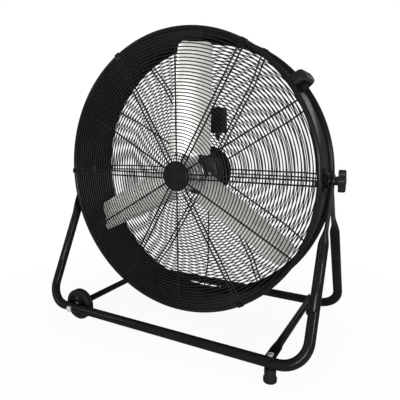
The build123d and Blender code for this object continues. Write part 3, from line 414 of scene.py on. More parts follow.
guardSize = {
    "rings": 38, "inner": 48.0, "outer": 372.0, "wire": 1.5, "wireSides": 8,
    "sidesPerRadius": 0.6, "fewestSides": 56, "mostSides": 184,
    "pairs": 6, "pair": 12.5, "spoke": 2.25, "spokeSides": 10, "spokeSteps": 12,
    "spokeStart": 36.0, "spokeEnd": 377.2, "frontRing": -81.6, "frontSpoke": -77.75,
    "ledge": 362.5, "kink": 300.0, "rimDepth": 84.5, "kinkDepth": 108.0, "middleDepth": 117.0,
    "kinkRounding": 14.0, "kinkSteps": 6, "seat": 0.05, "sharp": 60,
}
rearCorners = [
    (guardSize["spokeEnd"], guardSize["rimDepth"]),
    (guardSize["ledge"], guardSize["rimDepth"]),
    (guardSize["kink"], guardSize["kinkDepth"]),
    (guardSize["spokeStart"], guardSize["middleDepth"]),
]


# One ring of wire: a circle about the drum's axis that carries a small round section.
def ringWire(radius, depth, size=guardSize):
    wanted = radius * size["sidesPerRadius"]
    sides = int(np.clip(wanted, size["fewestSides"], size["mostSides"]))
    flat = circle(radius, sides)
    path = drumCentre + flat[:, :1] * alongX + flat[:, 1:] * alongZ + depth * alongY
    return swept(path, circle(size["wire"], size["wireSides"]), alongY, "closed")


# Every spoke of a guard, from a line of points (r, depth). Pairs and single spokes alternate,
# and a pair's two wires lie half the pair's width to each side of the middle.
def spokeWires(line, size=guardSize):
    wires = []
    for step in range(2 * size["pairs"]):
        outwards, sideways = radialAxes(math.radians(step * 180 / size["pairs"]))
        for offset in ((0.0,) if step % 2 else (-size["pair"] / 2, size["pair"] / 2)):
            path = drumCentre + outwards * line[:, :1] + sideways * offset + alongY * line[:, 1:]
            wires.append(swept(path, circle(size["spoke"], size["spokeSides"]), sideways))
    return wires


# The front guard is flat. The rear one's corners follow the rear face of its spokes, which are
# level inside the lip and then slope out to the kink and the middle. Its rings sit behind them.
ringRadii = np.linspace(guardSize["inner"], guardSize["outer"], guardSize["rings"])
spokeReach = np.linspace(guardSize["spokeStart"], guardSize["spokeEnd"], guardSize["spokeSteps"])
frontLine = np.column_stack([spokeReach, np.full(len(spokeReach), guardSize["frontSpoke"])])
frontWires = [ringWire(radius, guardSize["frontRing"]) for radius in ringRadii]
makePiece("front_guard", frontWires + spokeWires(frontLine), "drum", wireBlack, guardSize["sharp"])

cornerReach, cornerDepth = np.array(rearCorners)[::-1].T
seatDepth = np.interp(ringRadii - guardSize["wire"], cornerReach, cornerDepth)
ringDepths = seatDepth + guardSize["wire"] + guardSize["seat"]
rearLine = rounded(rearCorners, guardSize["kinkRounding"], guardSize["kinkSteps"], closed=False)
rearLine = rearLine - (0, guardSize["spoke"])
rearWires = [ringWire(radius, depth) for radius, depth in zip(ringRadii, ringDepths)]
makePiece("rear_guard", rearWires + spokeWires(rearLine), "drum", wireBlack, guardSize["sharp"])
print("guards")

# Plate and badge disc in the middle of the front guard: flat discs with a rounded edge.
guardPlate = {
    "profile": [(1, -80.2), (42, -80.2), (42, -83.0), (1, -83.0)],
    "rounding": [0, 1.0, 1.0, 0], "steps": 4, "sides": 96, "ring": False,
}
badgeShape = {
    "profile": [(1, -83.25), (38.6, -83.25), (38.9, -85.4), (37.2, -86.15), (35.6, -85.7),
                (1, -85.75)],
    "rounding": [0, 0.5, 0.8, 0.8, 0.5, 0], "steps": 4, "sides": 96, "ring": False,
}
makePiece("front_guard_plate", [turnedShape(guardPlate, drumCentre)], "drum", glossBlack)
makePiece("badge_disc", [turnedShape(badgeShape, drumCentre)], "drum", badgeBlack)

panSize = {
    "sides": 32, "edge": 0.25, "dome": (0.35, 0.6, 0.8), "domeEnd": 0.95, "flat": 0.5,
    "recess": 0.42, "recessMean": 0.62, "recessSwing": 0.38, "recessRim": 1.06,
    "recessTop": 0.98, "recessFoot": 0.8, "recessDepth": 0.5,
}


# Pan head with a cross recess. Its side rises straight to a quarter of the height, then comes
# in as cos s and up as sin s. The recess's rim, in shares of the head's radius, is
# recess (0.62 + 0.38 cos 4t), so it swings in and out four times in a turn.
def panHead(origin, axis, start, radius, height, size=panSize):
    turn = fullTurn(size["sides"])
    dome = np.array(size["dome"])
    swing = size["recessMean"] + size["recessSwing"] * np.cos(4 * turn)
    recess = radius * size["recess"] * swing
    side = radius * np.concatenate([[1.0, 1.0], np.cos(dome)])[:, None] * np.ones(size["sides"])
    rim = np.maximum(recess * size["recessRim"], radius * size["flat"])
    reach = np.vstack([side, rim, recess, recess * size["recessFoot"]])
    domeLevel = size["edge"] + (1 - size["edge"]) * np.sin(dome) / math.sin(size["domeEnd"])
    top = [1.0, size["recessTop"], size["recessDepth"]]
    level = height * np.concatenate([[0.0, size["edge"]], domeLevel, top])
    return revolved(reach, level[:, None], origin, axis, start, size["sides"]), "fan"


hexSize = {"sides": 48, "rim": 0.94, "slope": 0.5}


# Hexagon with its top corners cut by a cone: the side is flats / 2 / cos(t from the flat's
# middle), and the side's height falls short by half of what lies past the top's round rim.
def hexHead(origin, axis, start, flats, height, size=hexSize):
    flatTurn = np.pi / 3
    fromFlat = (fullTurn(size["sides"]) + flatTurn / 2) % flatTurn - flatTurn / 2
    hexRadius = flats / 2 / np.cos(fromFlat)
    rim = np.full(size["sides"], size["rim"] * flats / 2)
    cone = (hexRadius - rim) * size["slope"]
    reach = np.array([hexRadius, hexRadius, rim])
    level = np.array([0 * cone, height - cone, 0 * cone + height])
    return revolved(reach, level, origin, axis, start, size["sides"]), "fan"


clipSize = {
    "count": 6, "width": 14.0, "edge": 0.5, "sheet": 1.5, "inner": 374.0, "outer": 391.55,
    "face": 80.85, "skirt": 67.5, "step": 85.35, "stepReach": 378.35, "bend": 2.2,
    "stepBend": 1.0, "bendSteps": 5, "screwReach": 383.75, "screwDepth": 81.6,
    "screwRadius": 4.1, "screwHeight": 2.5,
}


# Clip: its line of points (r, depth) is moved half the sheet's thickness to each side, and the
# closed outline is carried sideways across the clip's width.
def clipStrip(line, outwards, sideways, size=clipSize):
    heading = np.gradient(line, axis=0)
    heading = heading / np.linalg.norm(heading, axis=1, keepdims=True)
    across = np.column_stack([-heading[:, 1], heading[:, 0]]) * size["sheet"] / 2
    outline = np.vstack([line + across, (line - across)[::-1]])
    half = size["width"] / 2
    offset = np.array([-half, size["edge"] - half, half - size["edge"], half])[:, None, None]
    flat = drumCentre + outline[:, :1] * outwards + outline[:, 1:] * alongY
    return flat + sideways * offset, "strip"


clipReach = clipSize["outer"] - clipSize["sheet"] / 2
frontClipLine = rounded(
    [(clipSize["inner"], -clipSize["face"]), (clipReach, -clipSize["face"]),
     (clipReach, -clipSize["skirt"])],
    clipSize["bend"], clipSize["bendSteps"], closed=False,
)
rearClipLine = rounded(
    [(clipSize["inner"], clipSize["step"]), (clipSize["stepReach"], clipSize["step"]),
     (clipSize["stepReach"], clipSize["face"]), (clipReach, clipSize["face"]),
     (clipReach, clipSize["skirt"])],
    [0, clipSize["stepBend"], clipSize["stepBend"], clipSize["bend"], 0],
    clipSize["bendSteps"], closed=False,
)
frontClips, rearClips, clipScrews = [], [], []
for step in range(clipSize["count"]):
    outwards, sideways = radialAxes(math.radians(step * 360 / clipSize["count"]))
    frontClips.append(clipStrip(frontClipLine, outwards, sideways))
    rearClips.append(clipStrip(rearClipLine, outwards, sideways))
    for facing in (-alongY, alongY):
        spot = drumCentre + outwards * clipSize["screwReach"] + facing * clipSize["screwDepth"]
        screw = panHead(spot, facing, outwards, clipSize["screwRadius"], clipSize["screwHeight"])
        clipScrews.append(screw)
makePiece("front_guard_clips", frontClips, "drum", glossBlack)
makePiece("rear_guard_clips", rearClips, "drum", glossBlack)
makePiece("clip_screws", clipScrews, "drum", glossBlack)
print("clips")

# The stand's tubes and its cross bar. From "eye" on, the keys shape an end that is pressed
# flat: round its eye, along the flat, and through the blend to the round tube.
standSize = {
    "tube": 12.7, "tubeSides": 32, "bend": 65.0, "bendSteps": 18, "floorY": 194.0,
    "offset": 398.0, "wheelAxis": 46.0, "joint": 130.0, "rise": 400.0,
    "frontFlat": 400.3, "rearFlat": 396.0, "endGap": 0.1, "endEdge": 1.0, "endShare": 0.97,
    "eye": 19.0, "eyeStart": 0.1, "eyeSteps": 12, "sheet": 4.0, "sectionSides": 40,
    "flat": 118.0, "flatStart": 8, "flatSteps": 8, "blend": 45.0, "blendStart": 3,
    "blendSteps": 16,
}
barSize = {
    "x": 318.0, "z": 60.8, "tube": 9.5, "roundFrom": 100, "eye": 13.0, "eyeStart": 0.12,
    "eyeSteps": 10, "sheet": 4.0, "sectionSides": 40, "flat": 39.0, "flatStart": 6,
    "flatSteps": 5, "blend": 30.0, "blendStart": 2, "blendSteps": 12,
}


# Direction down a leg, from the pivot to the floor tube's corner.
def legDown(front, size=standSize):
    down = np.array([0.0, front * size["floorY"], -size["rise"]])
    return down / np.linalg.norm(down)


# Floor tube and the uprights' lower ends: one tube along a U with round bends.
for front, frontWord in ((-1, "front"), (1, "rear")):
    down = legDown(front)
    corner = front * standSize["floorY"] * alongY + standSize["wheelAxis"] * alongZ
    reach, lift = standSize["offset"], standSize["joint"]
    line = rounded(
        [(-reach, lift), (-reach, 0), (reach, 0), (reach, lift)],
        standSize["bend"], standSize["bendSteps"], closed=False,
    )
    path = corner + line[:, :1] * alongX - line[:, 1:] * down
    section = circle(standSize["tube"], standSize["tubeSides"])
    tube = swept(path, section, np.cross(alongX, down))
    makePiece(f"{frontWord}_floor_frame", [tube], "stand", glossBlack)


# Distances from the eye's middle along a pressed end, from the eye's tip to the round tube.
def pressedStations(size):
    eyeTurn = np.linspace(size["eyeStart"], quarterTurn, size["eyeSteps"])
    blendStart, blendEnd = size["flat"] + size["blendStart"], size["flat"] + size["blend"]
    return np.concatenate([
        -size["eye"] * np.cos(eyeTurn),
        np.linspace(size["flatStart"], size["flat"], size["flatSteps"]),
        np.linspace(blendStart, blendEnd, size["blendSteps"]),
    ])


# Tube pressed flat at an end. At each station the section is a circle pulled apart into a
# stadium: half circles of the half thickness at each side of the flat. The flat's end is
# round, sqrt(eye^2 - station^2) wide, and the share of flatness s blends as s s (3 - 2 s).
# The points start half a step round, so that none lies where the circle is pulled apart.
def pressedSection(station, size):
    tube = size["tube"]
    share = np.clip((size["flat"] + size["blend"] - station) / size["blend"], 0, 1)
    share = share * share * (3 - 2 * share)
    thick = tube + (size["sheet"] / 2 - tube) * share
    wide = tube + (size["eye"] - tube) * share
    roundEnd = np.sqrt(np.maximum(size["eye"] ** 2 - np.minimum(station, 0) ** 2, 0))
    wide = np.where(station < 0, np.maximum(roundEnd, thick), wide)
    turn = (np.arange(size["sectionSides"]) + 0.5) * 2 * np.pi / size["sectionSides"]
    across = thick[:, None] * np.cos(turn)
    along = thick[:, None] * np.sin(turn) + np.sign(np.sin(turn)) * (wide - thick)[:, None]
    return np.stack([across, along], axis=-1), share


# Legs: each stands on its floor frame's upright and leans to its own flat, so that the front
# and the rear flat lie side by side on the stud.
legEnd = math.hypot(standSize["floorY"], standSize["rise"]) - standSize["joint"]
legStations = np.concatenate([
    pressedStations(standSize),
    [legEnd - standSize["endEdge"], legEnd - standSize["endGap"]],
])
legSection, flatShare = pressedSection(legStations, standSize)
legSection[-1] *= standSize["endShare"]
for front, frontWord in ((-1, "front"), (1, "rear")):
    for side, sideWord in ((-1, "left"), (1, "right")):
        lean = standSize[f"{frontWord}Flat"] - standSize["offset"]
        reach = standSize["offset"] + lean * flatShare
        down = legDown(front)
        path = drumCentre + down * legStations[:, None] + side * reach[:, None] * alongX
        leg = swept(path, legSection, np.cross(alongX, down))
        makePiece(f"{frontWord}_{sideWord}_leg", [leg], "stand", glossBlack)
print("stand tubes")

# Cross bar: round in the middle, pressed flat on both floor tubes.
station = np.concatenate([
    pressedStations(barSize), [barSize["roundFrom"], standSize["floorY"]],
])
section = pressedSection(station, barSize)[0]
section = np.concatenate([section, section[-2::-1]])
depth = np.concatenate([
    station - standSize["floorY"], (standSize["floorY"] - station)[-2::-1],
])
path = barSize["x"] * alongX + barSize["z"] * alongZ + depth[:, None] * alongY
makePiece("side_cross_bar", [swept(path, section, alongX)], "stand", glossBlack)

# Bolts through the bar's ends, and rubber feet with a broad base and a ribbed neck.
boltSize = {"flats": 12.9, "head": 5.2, "headAt": 62.9, "nut": 6.4, "nutAt": 11.8,
            "shank": [(3.9, 5.0), (3.9, 63.5)], "sides": 20}
footShape = {
    "profile": [(8.6, 12.0), (8.6, 0.0), (14.6, 0.0), (15.9, 1.6), (15.9, 10.2), (13.9, 12.2),
                (13.7, 20), (13.3, 21), (13.7, 22), (13.9, 33.0), (8.6, 33.2)],
    "rounding": [0, 0.6, 1.0, 1.0, 2.0, 1.5, 0.6, 0.6, 0.6, 1.4, 0], "steps": 4, "sides": 56,
}
barEnds = [barSize["x"] * alongX + front * standSize["floorY"] * alongY for front in (-1, 1)]
boltParts = []
for spot in barEnds:
    headSpot, nutSpot = spot + alongZ * boltSize["headAt"], spot + alongZ * boltSize["nutAt"]
    boltParts.append(hexHead(headSpot, alongZ, alongX, boltSize["flats"], boltSize["head"]))
    boltParts.append(turned(boltSize["shank"], spot, alongZ, alongX, boltSize["sides"], False))
    boltParts.append(hexHead(nutSpot, -alongZ, alongX, boltSize["flats"], boltSize["nut"]))
makePiece("cross_bar_bolts", boltParts, "stand", zincPlate)
for spot, frontWord in zip(barEnds, ("front", "rear")):
    foot = turnedShape(footShape, spot, alongZ)
    makePiece(f"{frontWord}_foot", [foot], "stand", footRubber)

wheelSpot = {"x": -303.0, "y": 164.9, "z": 46.0}
tyreShape = {
    "profile": [(35.0, -11.9), (42.0, -12.0), (46.0, -8.2), (46.0, -3.2), (45.0, -2.6),
                (45.0, -1.8), (46.0, -1.2), (46.0, 1.2), (45.0, 1.8), (45.0, 2.6), (46.0, 3.2),
                (46.0, 8.2), (42.0, 12.0), (35.0, 11.9)],
    "rounding": [0.6, 2.5, 2.5, 0.3, 0.2, 0.2, 0.3, 0.3, 0.2, 0.2, 0.3, 2.5, 2.5, 0.6],
    "steps": 4, "sides": 128,
}
# The hub's profile is given for its rear half and mirrored. Rows 3 to 6 are the web's face.
hubSize = {
    "profile": [(34.7, 11.9), (32.4, 11.9), (31.6, 11.2), (31.2, 4.2), (30.0, 3.2),
                (20.0, 3.2), (13.2, 4.0), (12.7, 11.8), (11.5, 13.0), (5.3, 13.0)],
    "web": slice(3, 7), "ribs": 6, "ribHeight": 5.0, "ribSlope": 3, "ribDrop": 1.8, "sides": 96,
}


# Hub: a rim, a thin web with six low ribs and a boss. The web's faces stand out by the rib's
# height times 3 cos 6t - 1.8, kept between 0 and 1.
def hubGrid(centre, size=hubSize):
    reach, rear = np.array(size["profile"]).T[:, :, None]
    wave = np.cos(size["ribs"] * fullTurn(size["sides"])) * size["ribSlope"] - size["ribDrop"]
    rear = rear + np.zeros(size["sides"])
    rear[size["web"]] += np.clip(wave, 0, 1) * size["ribHeight"]
    reach, level = np.vstack([reach[::-1], reach]), np.vstack([-rear[::-1], rear])
    return revolved(reach, level, centre, alongY, alongX, size["sides"]), "closed"


axleSpot = wheelSpot["x"] * alongX + wheelSpot["z"] * alongZ
for front, frontWord in ((-1, "front"), (1, "rear")):
    centre = axleSpot + front * wheelSpot["y"] * alongY
    body = f"{frontWord}_wheel"
    makePiece(f"{frontWord}_tyre", [turnedShape(tyreShape, centre)], body, tyreRubber)
    makePiece(f"{frontWord}_wheel_hub", [hubGrid(centre)], body, mouldedBlack)

axleTubeShape = {
    "profile": [(7.6, -151.5), (9.45, -151.5), (9.45, 151.5), (7.6, 151.5)],
    "rounding": 0.4, "steps": 3, "sides": 40,
}
wheelWasher = {
    "profile": [(5.1, 0), (9.2, 0), (9.2, 1.4), (5.1, 1.4)],
    "rounding": 0.4, "steps": 3, "sides": 40, "at": (178.3, 179.8),
}
rodShape = {
    "profile": [(0.6, -206.9), (4.9, -206.9), (4.9, 212.2), (3.9, 213.1), (0.6, 213.1)],
    "rounding": [0, 0, 0.5, 0.3, 0], "steps": 3, "sides": 28, "ring": False,
    "flats": 16.9, "head": 6.3, "headAt": -206.8, "nut": 5.9, "nutAt": 206.9,
}
washers = [
    turnedShape(wheelWasher, axleSpot + facing * reach, facing)
    for facing in (-alongY, alongY) for reach in wheelWasher["at"]
]
headSpot, nutSpot = axleSpot + alongY * rodShape["headAt"], axleSpot + alongY * rodShape["nutAt"]
rodHead = hexHead(headSpot, -alongY, alongX, rodShape["flats"], rodShape["head"])
rodNut = hexHead(nutSpot, alongY, alongX, rodShape["flats"], rodShape["nut"])
makePiece("axle_tube", [turnedShape(axleTubeShape, axleSpot)], "stand", glossBlack)
makePiece("wheel_washers", washers, "stand", zincPlate)
makePiece("axle_rod", [turnedShape(rodShape, axleSpot), rodHead], "stand", zincPlate)
makePiece("axle_nut", [rodNut], "stand", zincPlate)
print("wheels")

# Brackets, rivets, studs and washers of the two pivots. Their profiles are measured outwards
# from the drum's centre, apart from the rivets', which starts at the bracket's face.
bracketShape = {
    "profile": [(29.9, 381.1), (29.9, 383.55), (20.8, 383.7), (13.2, 392.0), (5.2, 392.0),
                (5.2, 389.6), (11.6, 389.6), (18.4, 381.1)],
    "rounding": [0.8, 0.8, 2.5, 2.2, 0.3, 0.3, 1.5, 0.8], "steps": 5, "sides": 80,
    "shell": 381.0, "flatTo": 12, "blend": 10,
}
pivotRivet = {
    "profile": [(3.6, 0.0), (3.3, 1.0), (2.0, 1.9), (0.4, 2.1)],
    "rounding": [0, 0.8, 0.8, 0], "steps": 4, "sides": 20, "ring": False,
    "count": 4, "from": 45, "circle": 25.5, "at": 383.5,
}
studSize = {"flats": 15.2, "head": 2.9, "headAt": 379.3,
            "shank": [(4.9, 379.4), (4.9, 424.5)], "sides": 28}
frictionWasher = {
    "profile": [(5.1, 392.15), (18.9, 392.15), (18.9, 393.8), (5.1, 393.8)],
    "rounding": 0.4, "steps": 3, "sides": 56,
}
clampWasher = {
    "profile": [(5.1, 402.65), (11.9, 402.65), (11.9, 404.55), (5.1, 404.55)],
    "rounding": 0.4, "steps": 3, "sides": 48,
}


# How far the shell lies within its widest place at a height z: R - sqrt(R^2 - z^2).
def shellSink(height, radius=bracketShape["shell"]):
    return radius - np.sqrt(radius**2 - height**2)


rivets, studs, frictionWashers, clampWashers = [], [], [], []
for side, sideWord in ((-1, "left"), (1, "right")):
    outwards = side * alongX
    # The flange follows the shell, and the middle, where the stud passes, stays flat.
    bracket, ends = turnedShape(bracketShape, drumCentre, outwards, alongY)
    height = bracket[..., 2] - axisHeight
    fromStud = np.hypot(height, bracket[..., 1])
    weight = np.clip((fromStud - bracketShape["flatTo"]) / bracketShape["blend"], 0, 1)
    bracket[..., 0] -= side * shellSink(height) * weight
    makePiece(f"{sideWord}_pivot_bracket", [(bracket, ends)], "drum", glossBlack)
    for step in range(pivotRivet["count"]):
        turn = math.radians(pivotRivet["from"] + step * 360 / pivotRivet["count"])
        depth, height = pivotRivet["circle"] * np.array([math.cos(turn), math.sin(turn)])
        reach = pivotRivet["at"] - shellSink(height)
        spot = drumCentre + outwards * reach + depth * alongY + height * alongZ
        rivets.append(turnedShape(pivotRivet, spot, outwards, alongY))
    spot = drumCentre + outwards * studSize["headAt"]
    studs.append(hexHead(spot, -outwards, alongY, studSize["flats"], studSize["head"]))
    shank = turned(studSize["shank"], drumCentre, outwards, alongY, studSize["sides"], False)
    studs.append(shank)
    frictionWashers.append(turnedShape(frictionWasher, drumCentre, outwards, alongY))
    clampWashers.append(turnedShape(clampWasher, drumCentre, outwards, alongY))
makePiece("pivot_rivets", rivets, "drum", glossBlack)
makePiece("pivot_studs", studs, "drum", darkZinc)
makePiece("friction_washers", frictionWashers, "drum", washerNylon)
makePiece("clamp_washers", clampWashers, "drum", darkZinc)

knobSize = {
    "length": 54.6, "wing": 16.4, "core": 14.8, "sides": 120, "wingPower": 3, "corePower": 8,
    "swell": 1.9, "swellAt": 0.32, "swellWidth": 0.16, "foot": [(0.8, 412.9), (0.0, 413.7)],
    "domeFrom": 425.6, "domeInset": 4.0, "domeRise": 4.2, "domeSteps": 6,
    "crown": (7.0, 429.85),
}
knobBoss = {
    "profile": [(5.3, 405.0), (10.9, 405.0), (10.9, 413.5), (5.3, 413.5)],
    "rounding": [0.3, 0.8, 0, 0], "steps": 3, "sides": 56,
}


# Two-winged knob. The wing's reach at the angle t is (|cos t / a|^3 + |sin t / b|^3)^(-1/3), a
# and b being half the length and width, and it joins the round core c as (wing^8 + c^8)^(1/8).
# Near each end, at an angle u from it, the reach swells by A exp(-((u - 0.32) / 0.16)^2).
def knobOutline(size):
    turn = fullTurn(size["sides"])
    wide, narrow = size["length"] / 2, size["wing"] / 2
    power, corePower = size["wingPower"], size["corePower"]
    wing = np.abs(np.cos(turn) / wide) ** power + np.abs(np.sin(turn) / narrow) ** power
    reach = (wing ** (-corePower / power) + size["core"] ** corePower) ** (1 / corePower)
    fromEnd = np.minimum(np.abs(turn - np.pi), np.minimum(turn, 2 * np.pi - turn))
    swell = size["swell"] * np.exp(-(((fromEnd - size["swellAt"]) / size["swellWidth"]) ** 2))
    return (reach + swell)[:, None] * np.column_stack([np.cos(turn), np.sin(turn)])


knobDome = [
    (knobSize["domeInset"] * (1 - math.cos(turn)),
     knobSize["domeFrom"] + knobSize["domeRise"] * math.sin(turn))
    for turn in np.linspace(0, quarterTurn, knobSize["domeSteps"])
]
knobLevels = knobSize["foot"] + knobDome + [knobSize["crown"]]
for side, sideWord in ((-1, "left"), (1, "right")):
    outwards = side * alongX
    up = np.cross(outwards, alongZ)
    head = layered(knobOutline(knobSize), knobLevels, drumCentre, alongZ, up)
    boss = turnedShape(knobBoss, drumCentre, outwards, alongY)
    makePiece(f"{sideWord}_clamp_knob", [head, boss], f"{sideWord}_knob", mouldedBlack)
print("pivots and knobs")

handleSize = {
    "angle": 37.5, "foot": 381.0, "line": [(-51, 0.1), (-46.5, 30), (46.5, 30), (51, 0.1)],
    "bend": 16, "bendSteps": 10, "corner": 0.62, "cornerSteps": 7, "sharp": 45,
    "thick": ([0, 14, 40], [10.6, 8.2, 6.9]), "wide": ([0, 10, 45], [13.9, 13.2, 13.2]),
    "screws": (-51, 51), "screwReach": 379.4, "screwRadius": 4.8, "screwHeight": 2.4,
}
# The grip is a rounded square section along a bent line, and thins out away from both feet.
outwards, sideways = radialAxes(math.radians(handleSize["angle"]))
line = rounded(handleSize["line"], handleSize["bend"], handleSize["bendSteps"], closed=False)
run = np.concatenate([[0], np.cumsum(np.linalg.norm(np.diff(line, axis=0), axis=1))])
fromFoot = np.minimum(run, run[-1] - run)
thick, wide = (np.interp(fromFoot, *handleSize[word]) for word in ("thick", "wide"))
section = rounded(square, handleSize["corner"], handleSize["cornerSteps"])
section = section[None] * np.stack([thick, wide], axis=-1)[:, None]
path = drumCentre + outwards * (handleSize["foot"] + line[:, 1:]) + line[:, :1] * alongY
handle = swept(path, section, sideways)
handleScrews = [
    panHead(drumCentre + outwards * handleSize["screwReach"] + alongY * place, -outwards, alongY,
            handleSize["screwRadius"], handleSize["screwHeight"])
    for place in handleSize["screws"]
]
makePiece("handle", [handle], "drum", mouldedBlack, handleSize["sharp"])
makePiece("handle_screws", handleScrews, "drum", zincPlate)

motorShellShape = {
    "profile": [(63.0, 40.2), (65.9, 40.2), (65.9, 101.7), (63.0, 101.7)],
    "rounding": [0.5, 1.0, 1.0, 0.5], "steps": 3, "sides": 96,
}
frontCoverShape = {
    "profile": [(9.2, 26.1), (21.5, 26.1), (23.6, 28.2), (24.2, 32.8), (30.0, 34.2),
                (62.0, 34.2), (65.8, 37.0), (65.8, 39.8), (23.8, 39.8), (17.7, 39.9),
                (17.7, 28.9), (9.2, 28.9)],
    "rounding": [0.6, 1.5, 1.5, 3.0, 3.0, 3.0, 3.0, 0.5, 0.5, 0.3, 0.3, 0.3],
    "steps": 4, "sides": 96,
}
rearCoverShape = {
    "profile": [(1.0, 107.8), (63.0, 107.8), (65.8, 105.2), (65.8, 102.1), (24.0, 102.1),
                (23.9, 96.2), (17.7, 96.2), (17.7, 106.8), (1.0, 106.8)],
    "rounding": [0, 3.0, 2.0, 0.5, 0.5, 0.5, 0.3, 0.3, 0], "steps": 4, "sides": 96,
    "ring": False,
}
motorPlateShape = {
    "profile": [(1.0, 108.0), (77.9, 108.0), (77.9, 110.9), (1.0, 110.9)],
    "rounding": [0, 0.8, 0.8, 0], "steps": 3, "sides": 112, "ring": False,
}
plateBolt = {"count": 4, "from": 45, "circle": 58, "at": 110.95, "flats": 7.7, "head": 3.4}
makePiece("motor_shell", [turnedShape(motorShellShape, drumCentre)], "drum", motorBlack)
makePiece("motor_front_cover", [turnedShape(frontCoverShape, drumCentre)], "drum", coverGrey)
makePiece("motor_rear_cover", [turnedShape(rearCoverShape, drumCentre)], "drum", coverGrey)
makePiece("motor_plate", [turnedShape(motorPlateShape, drumCentre)], "drum", glossBlack)
plateBolts = []
for step in range(plateBolt["count"]):
    turn = math.radians(plateBolt["from"] + step * 360 / plateBolt["count"])
    spot = drumCentre + plateBolt["circle"] * radialAxes(turn)[0] + alongY * plateBolt["at"]
    plateBolts.append(hexHead(spot, alongY, alongX, plateBolt["flats"], plateBolt["head"]))
makePiece("motor_plate_bolts", plateBolts, "drum", zincPlate)
print("motor")

bladeSize = {
    "count": 3, "first": 86.0, "plane": -10.0, "pitch": 18.0, "camber": 210.0, "sheet": 1.9,
    "root": 58.0, "tip": 362.0, "rootChord": 118.0, "tipChord": 94.0, "corner": 16.0,
    "cornerStart": 0.12, "cornerSteps": 12, "rows": 26, "columns": 29,
    "lipWidth": 10, "lipSlope": 0.22,
}
impellerSpot = drumCentre + alongY * bladeSize["plane"]
bladeAngles = [bladeSize["first"] + step * 360 / bladeSize["count"]
               for step in range(bladeSize["count"])]


# Outwards along a blade, across it, and square to its sheet. The pitch leans the chord forward.
def bladeAxes(angle, pitch):
    outwards, sideways = radialAxes(angle)
    pitch = np.asarray(pitch, float)[..., None]
    chord = sideways * np.cos(pitch) - alongY * np.sin(pitch)
    return outwards, chord, np.cross(outwards, chord)


# Radii of the rows near a tip with round corners, which lie closer together towards the end.
def tipRows(size):
    turn = np.linspace(size["cornerStart"], quarterTurn, size["cornerSteps"])
    return size["tip"] - size["corner"] * (1 - np.sin(turn))


# Half chord with both of the tip's corners cut as quarter circles: h - c + sqrt(c^2 - past^2).
def tipChord(radius, halfChord, size):
    past = np.maximum(radius - (size["tip"] - size["corner"]), 0)
    return halfChord - size["corner"] + np.sqrt(np.maximum(size["corner"] ** 2 - past**2, 0))


# Blade: the half chord shrinks evenly to the tip, and each section is an arc, so a point at
# the chord c lies R - sqrt(R^2 - c^2) in front of the blade's plane. Along the leading edge a
# lip leans further forward.
def bladeGrid(angle, size=bladeSize):
    inner = np.linspace(size["root"], size["tip"] - size["corner"], size["rows"])
    radius = np.concatenate([inner, tipRows(size)])
    halfEnds = (size["rootChord"] / 2, size["tipChord"] / 2)
    halfChord = np.interp(radius, (size["root"], size["tip"]), halfEnds)
    halfChord = tipChord(radius, halfChord, size)[:, None]
    chord = halfChord * np.linspace(-1, 1, size["columns"])
    rise = size["camber"] - np.sqrt(size["camber"] ** 2 - chord**2)
    rise = rise + size["lipSlope"] * np.maximum(chord - (halfChord - size["lipWidth"]), 0)
    outwards, across, forward = bladeAxes(angle, math.radians(size["pitch"]))
    flat = impellerSpot + radius[:, None, None] * outwards + chord[..., None] * across
    return flat + rise[..., None] * forward


rivetSize = {
    "profile": [(3.7, 0.0), (3.4, 1.0), (2.0, 1.7), (0.4, 1.85)],
    "rounding": [0, 0.8, 0.8, 0], "steps": 4, "sides": 20, "ring": False,
    "at": (71, 105), "lift": 1.1, "shank": [(2.3, -4.2), (2.3, 1.3)], "shankSides": 16,
}
bladeRivets = []
for step, degrees in enumerate(bladeAngles):
    angle = math.radians(degrees)
    finish = bladeFinish(f"bladeSheet{step + 1}", degrees)
    blade = sheetSolid(bladeGrid(angle), bladeSize["sheet"])
    makePiece(f"fan_blade_{step + 1}", [blade], "impeller", finish)
    outwards, across, forward = bladeAxes(angle, math.radians(bladeSize["pitch"]))
    for reach in rivetSize["at"]:
        spot = impellerSpot + outwards * reach
        head = turnedShape(rivetSize, spot + forward * rivetSize["lift"], forward, outwards)
        shank = turned(
            rivetSize["shank"], spot, forward, outwards, rivetSize["shankSides"], False)
        bladeRivets += [head, shank]
makePiece("blade_rivets", bladeRivets, "impeller", zincPlate)

spiderPlate = {
    "profile": [(20.2, 1.15), (45.9, 1.15), (45.9, 4.05), (20.2, 4.05)],
    "rounding": 0.6, "steps": 3, "sides": 80,
}
armSize = {
    "root": 33, "twistEnd": 60, "twistSteps": 10, "flatFrom": 65, "flatSteps": 6, "tip": 118.0,
    "corner": 8.0, "cornerStart": 0.1, "cornerSteps": 7, "twistFrom": 36, "twist": 22,
    "chordFrom": 38, "rootChord": 26, "tipChord": 20, "columns": 9, "behind": 2.6, "sheet": 2.8,
}


# Spider arm: a flat strip behind the blade that twists from the plate's plane to the blade's
# pitch by s s (3 - 2 s), with s the share of the twist's length.
def armGrid(angle, size=armSize):
    radius = np.concatenate([
        np.linspace(size["root"], size["twistEnd"], size["twistSteps"]),
        np.linspace(size["flatFrom"], size["tip"] - size["corner"], size["flatSteps"]),
        tipRows(size),
    ])
    share = np.clip((radius - size["twistFrom"]) / size["twist"], 0, 1)
    pitch = math.radians(bladeSize["pitch"]) * share * share * (3 - 2 * share)
    outwards, across, forward = bladeAxes(angle, pitch)
    halfEnds = (size["rootChord"], size["tipChord"])
    halfChord = np.interp(radius, (size["chordFrom"], size["tip"]), halfEnds)
    chord = tipChord(radius, halfChord, size)[:, None] * np.linspace(-1, 1, size["columns"])
    flat = impellerSpot + radius[:, None, None] * outwards + chord[..., None] * across[:, None]
    return flat - size["behind"] * forward[:, None]


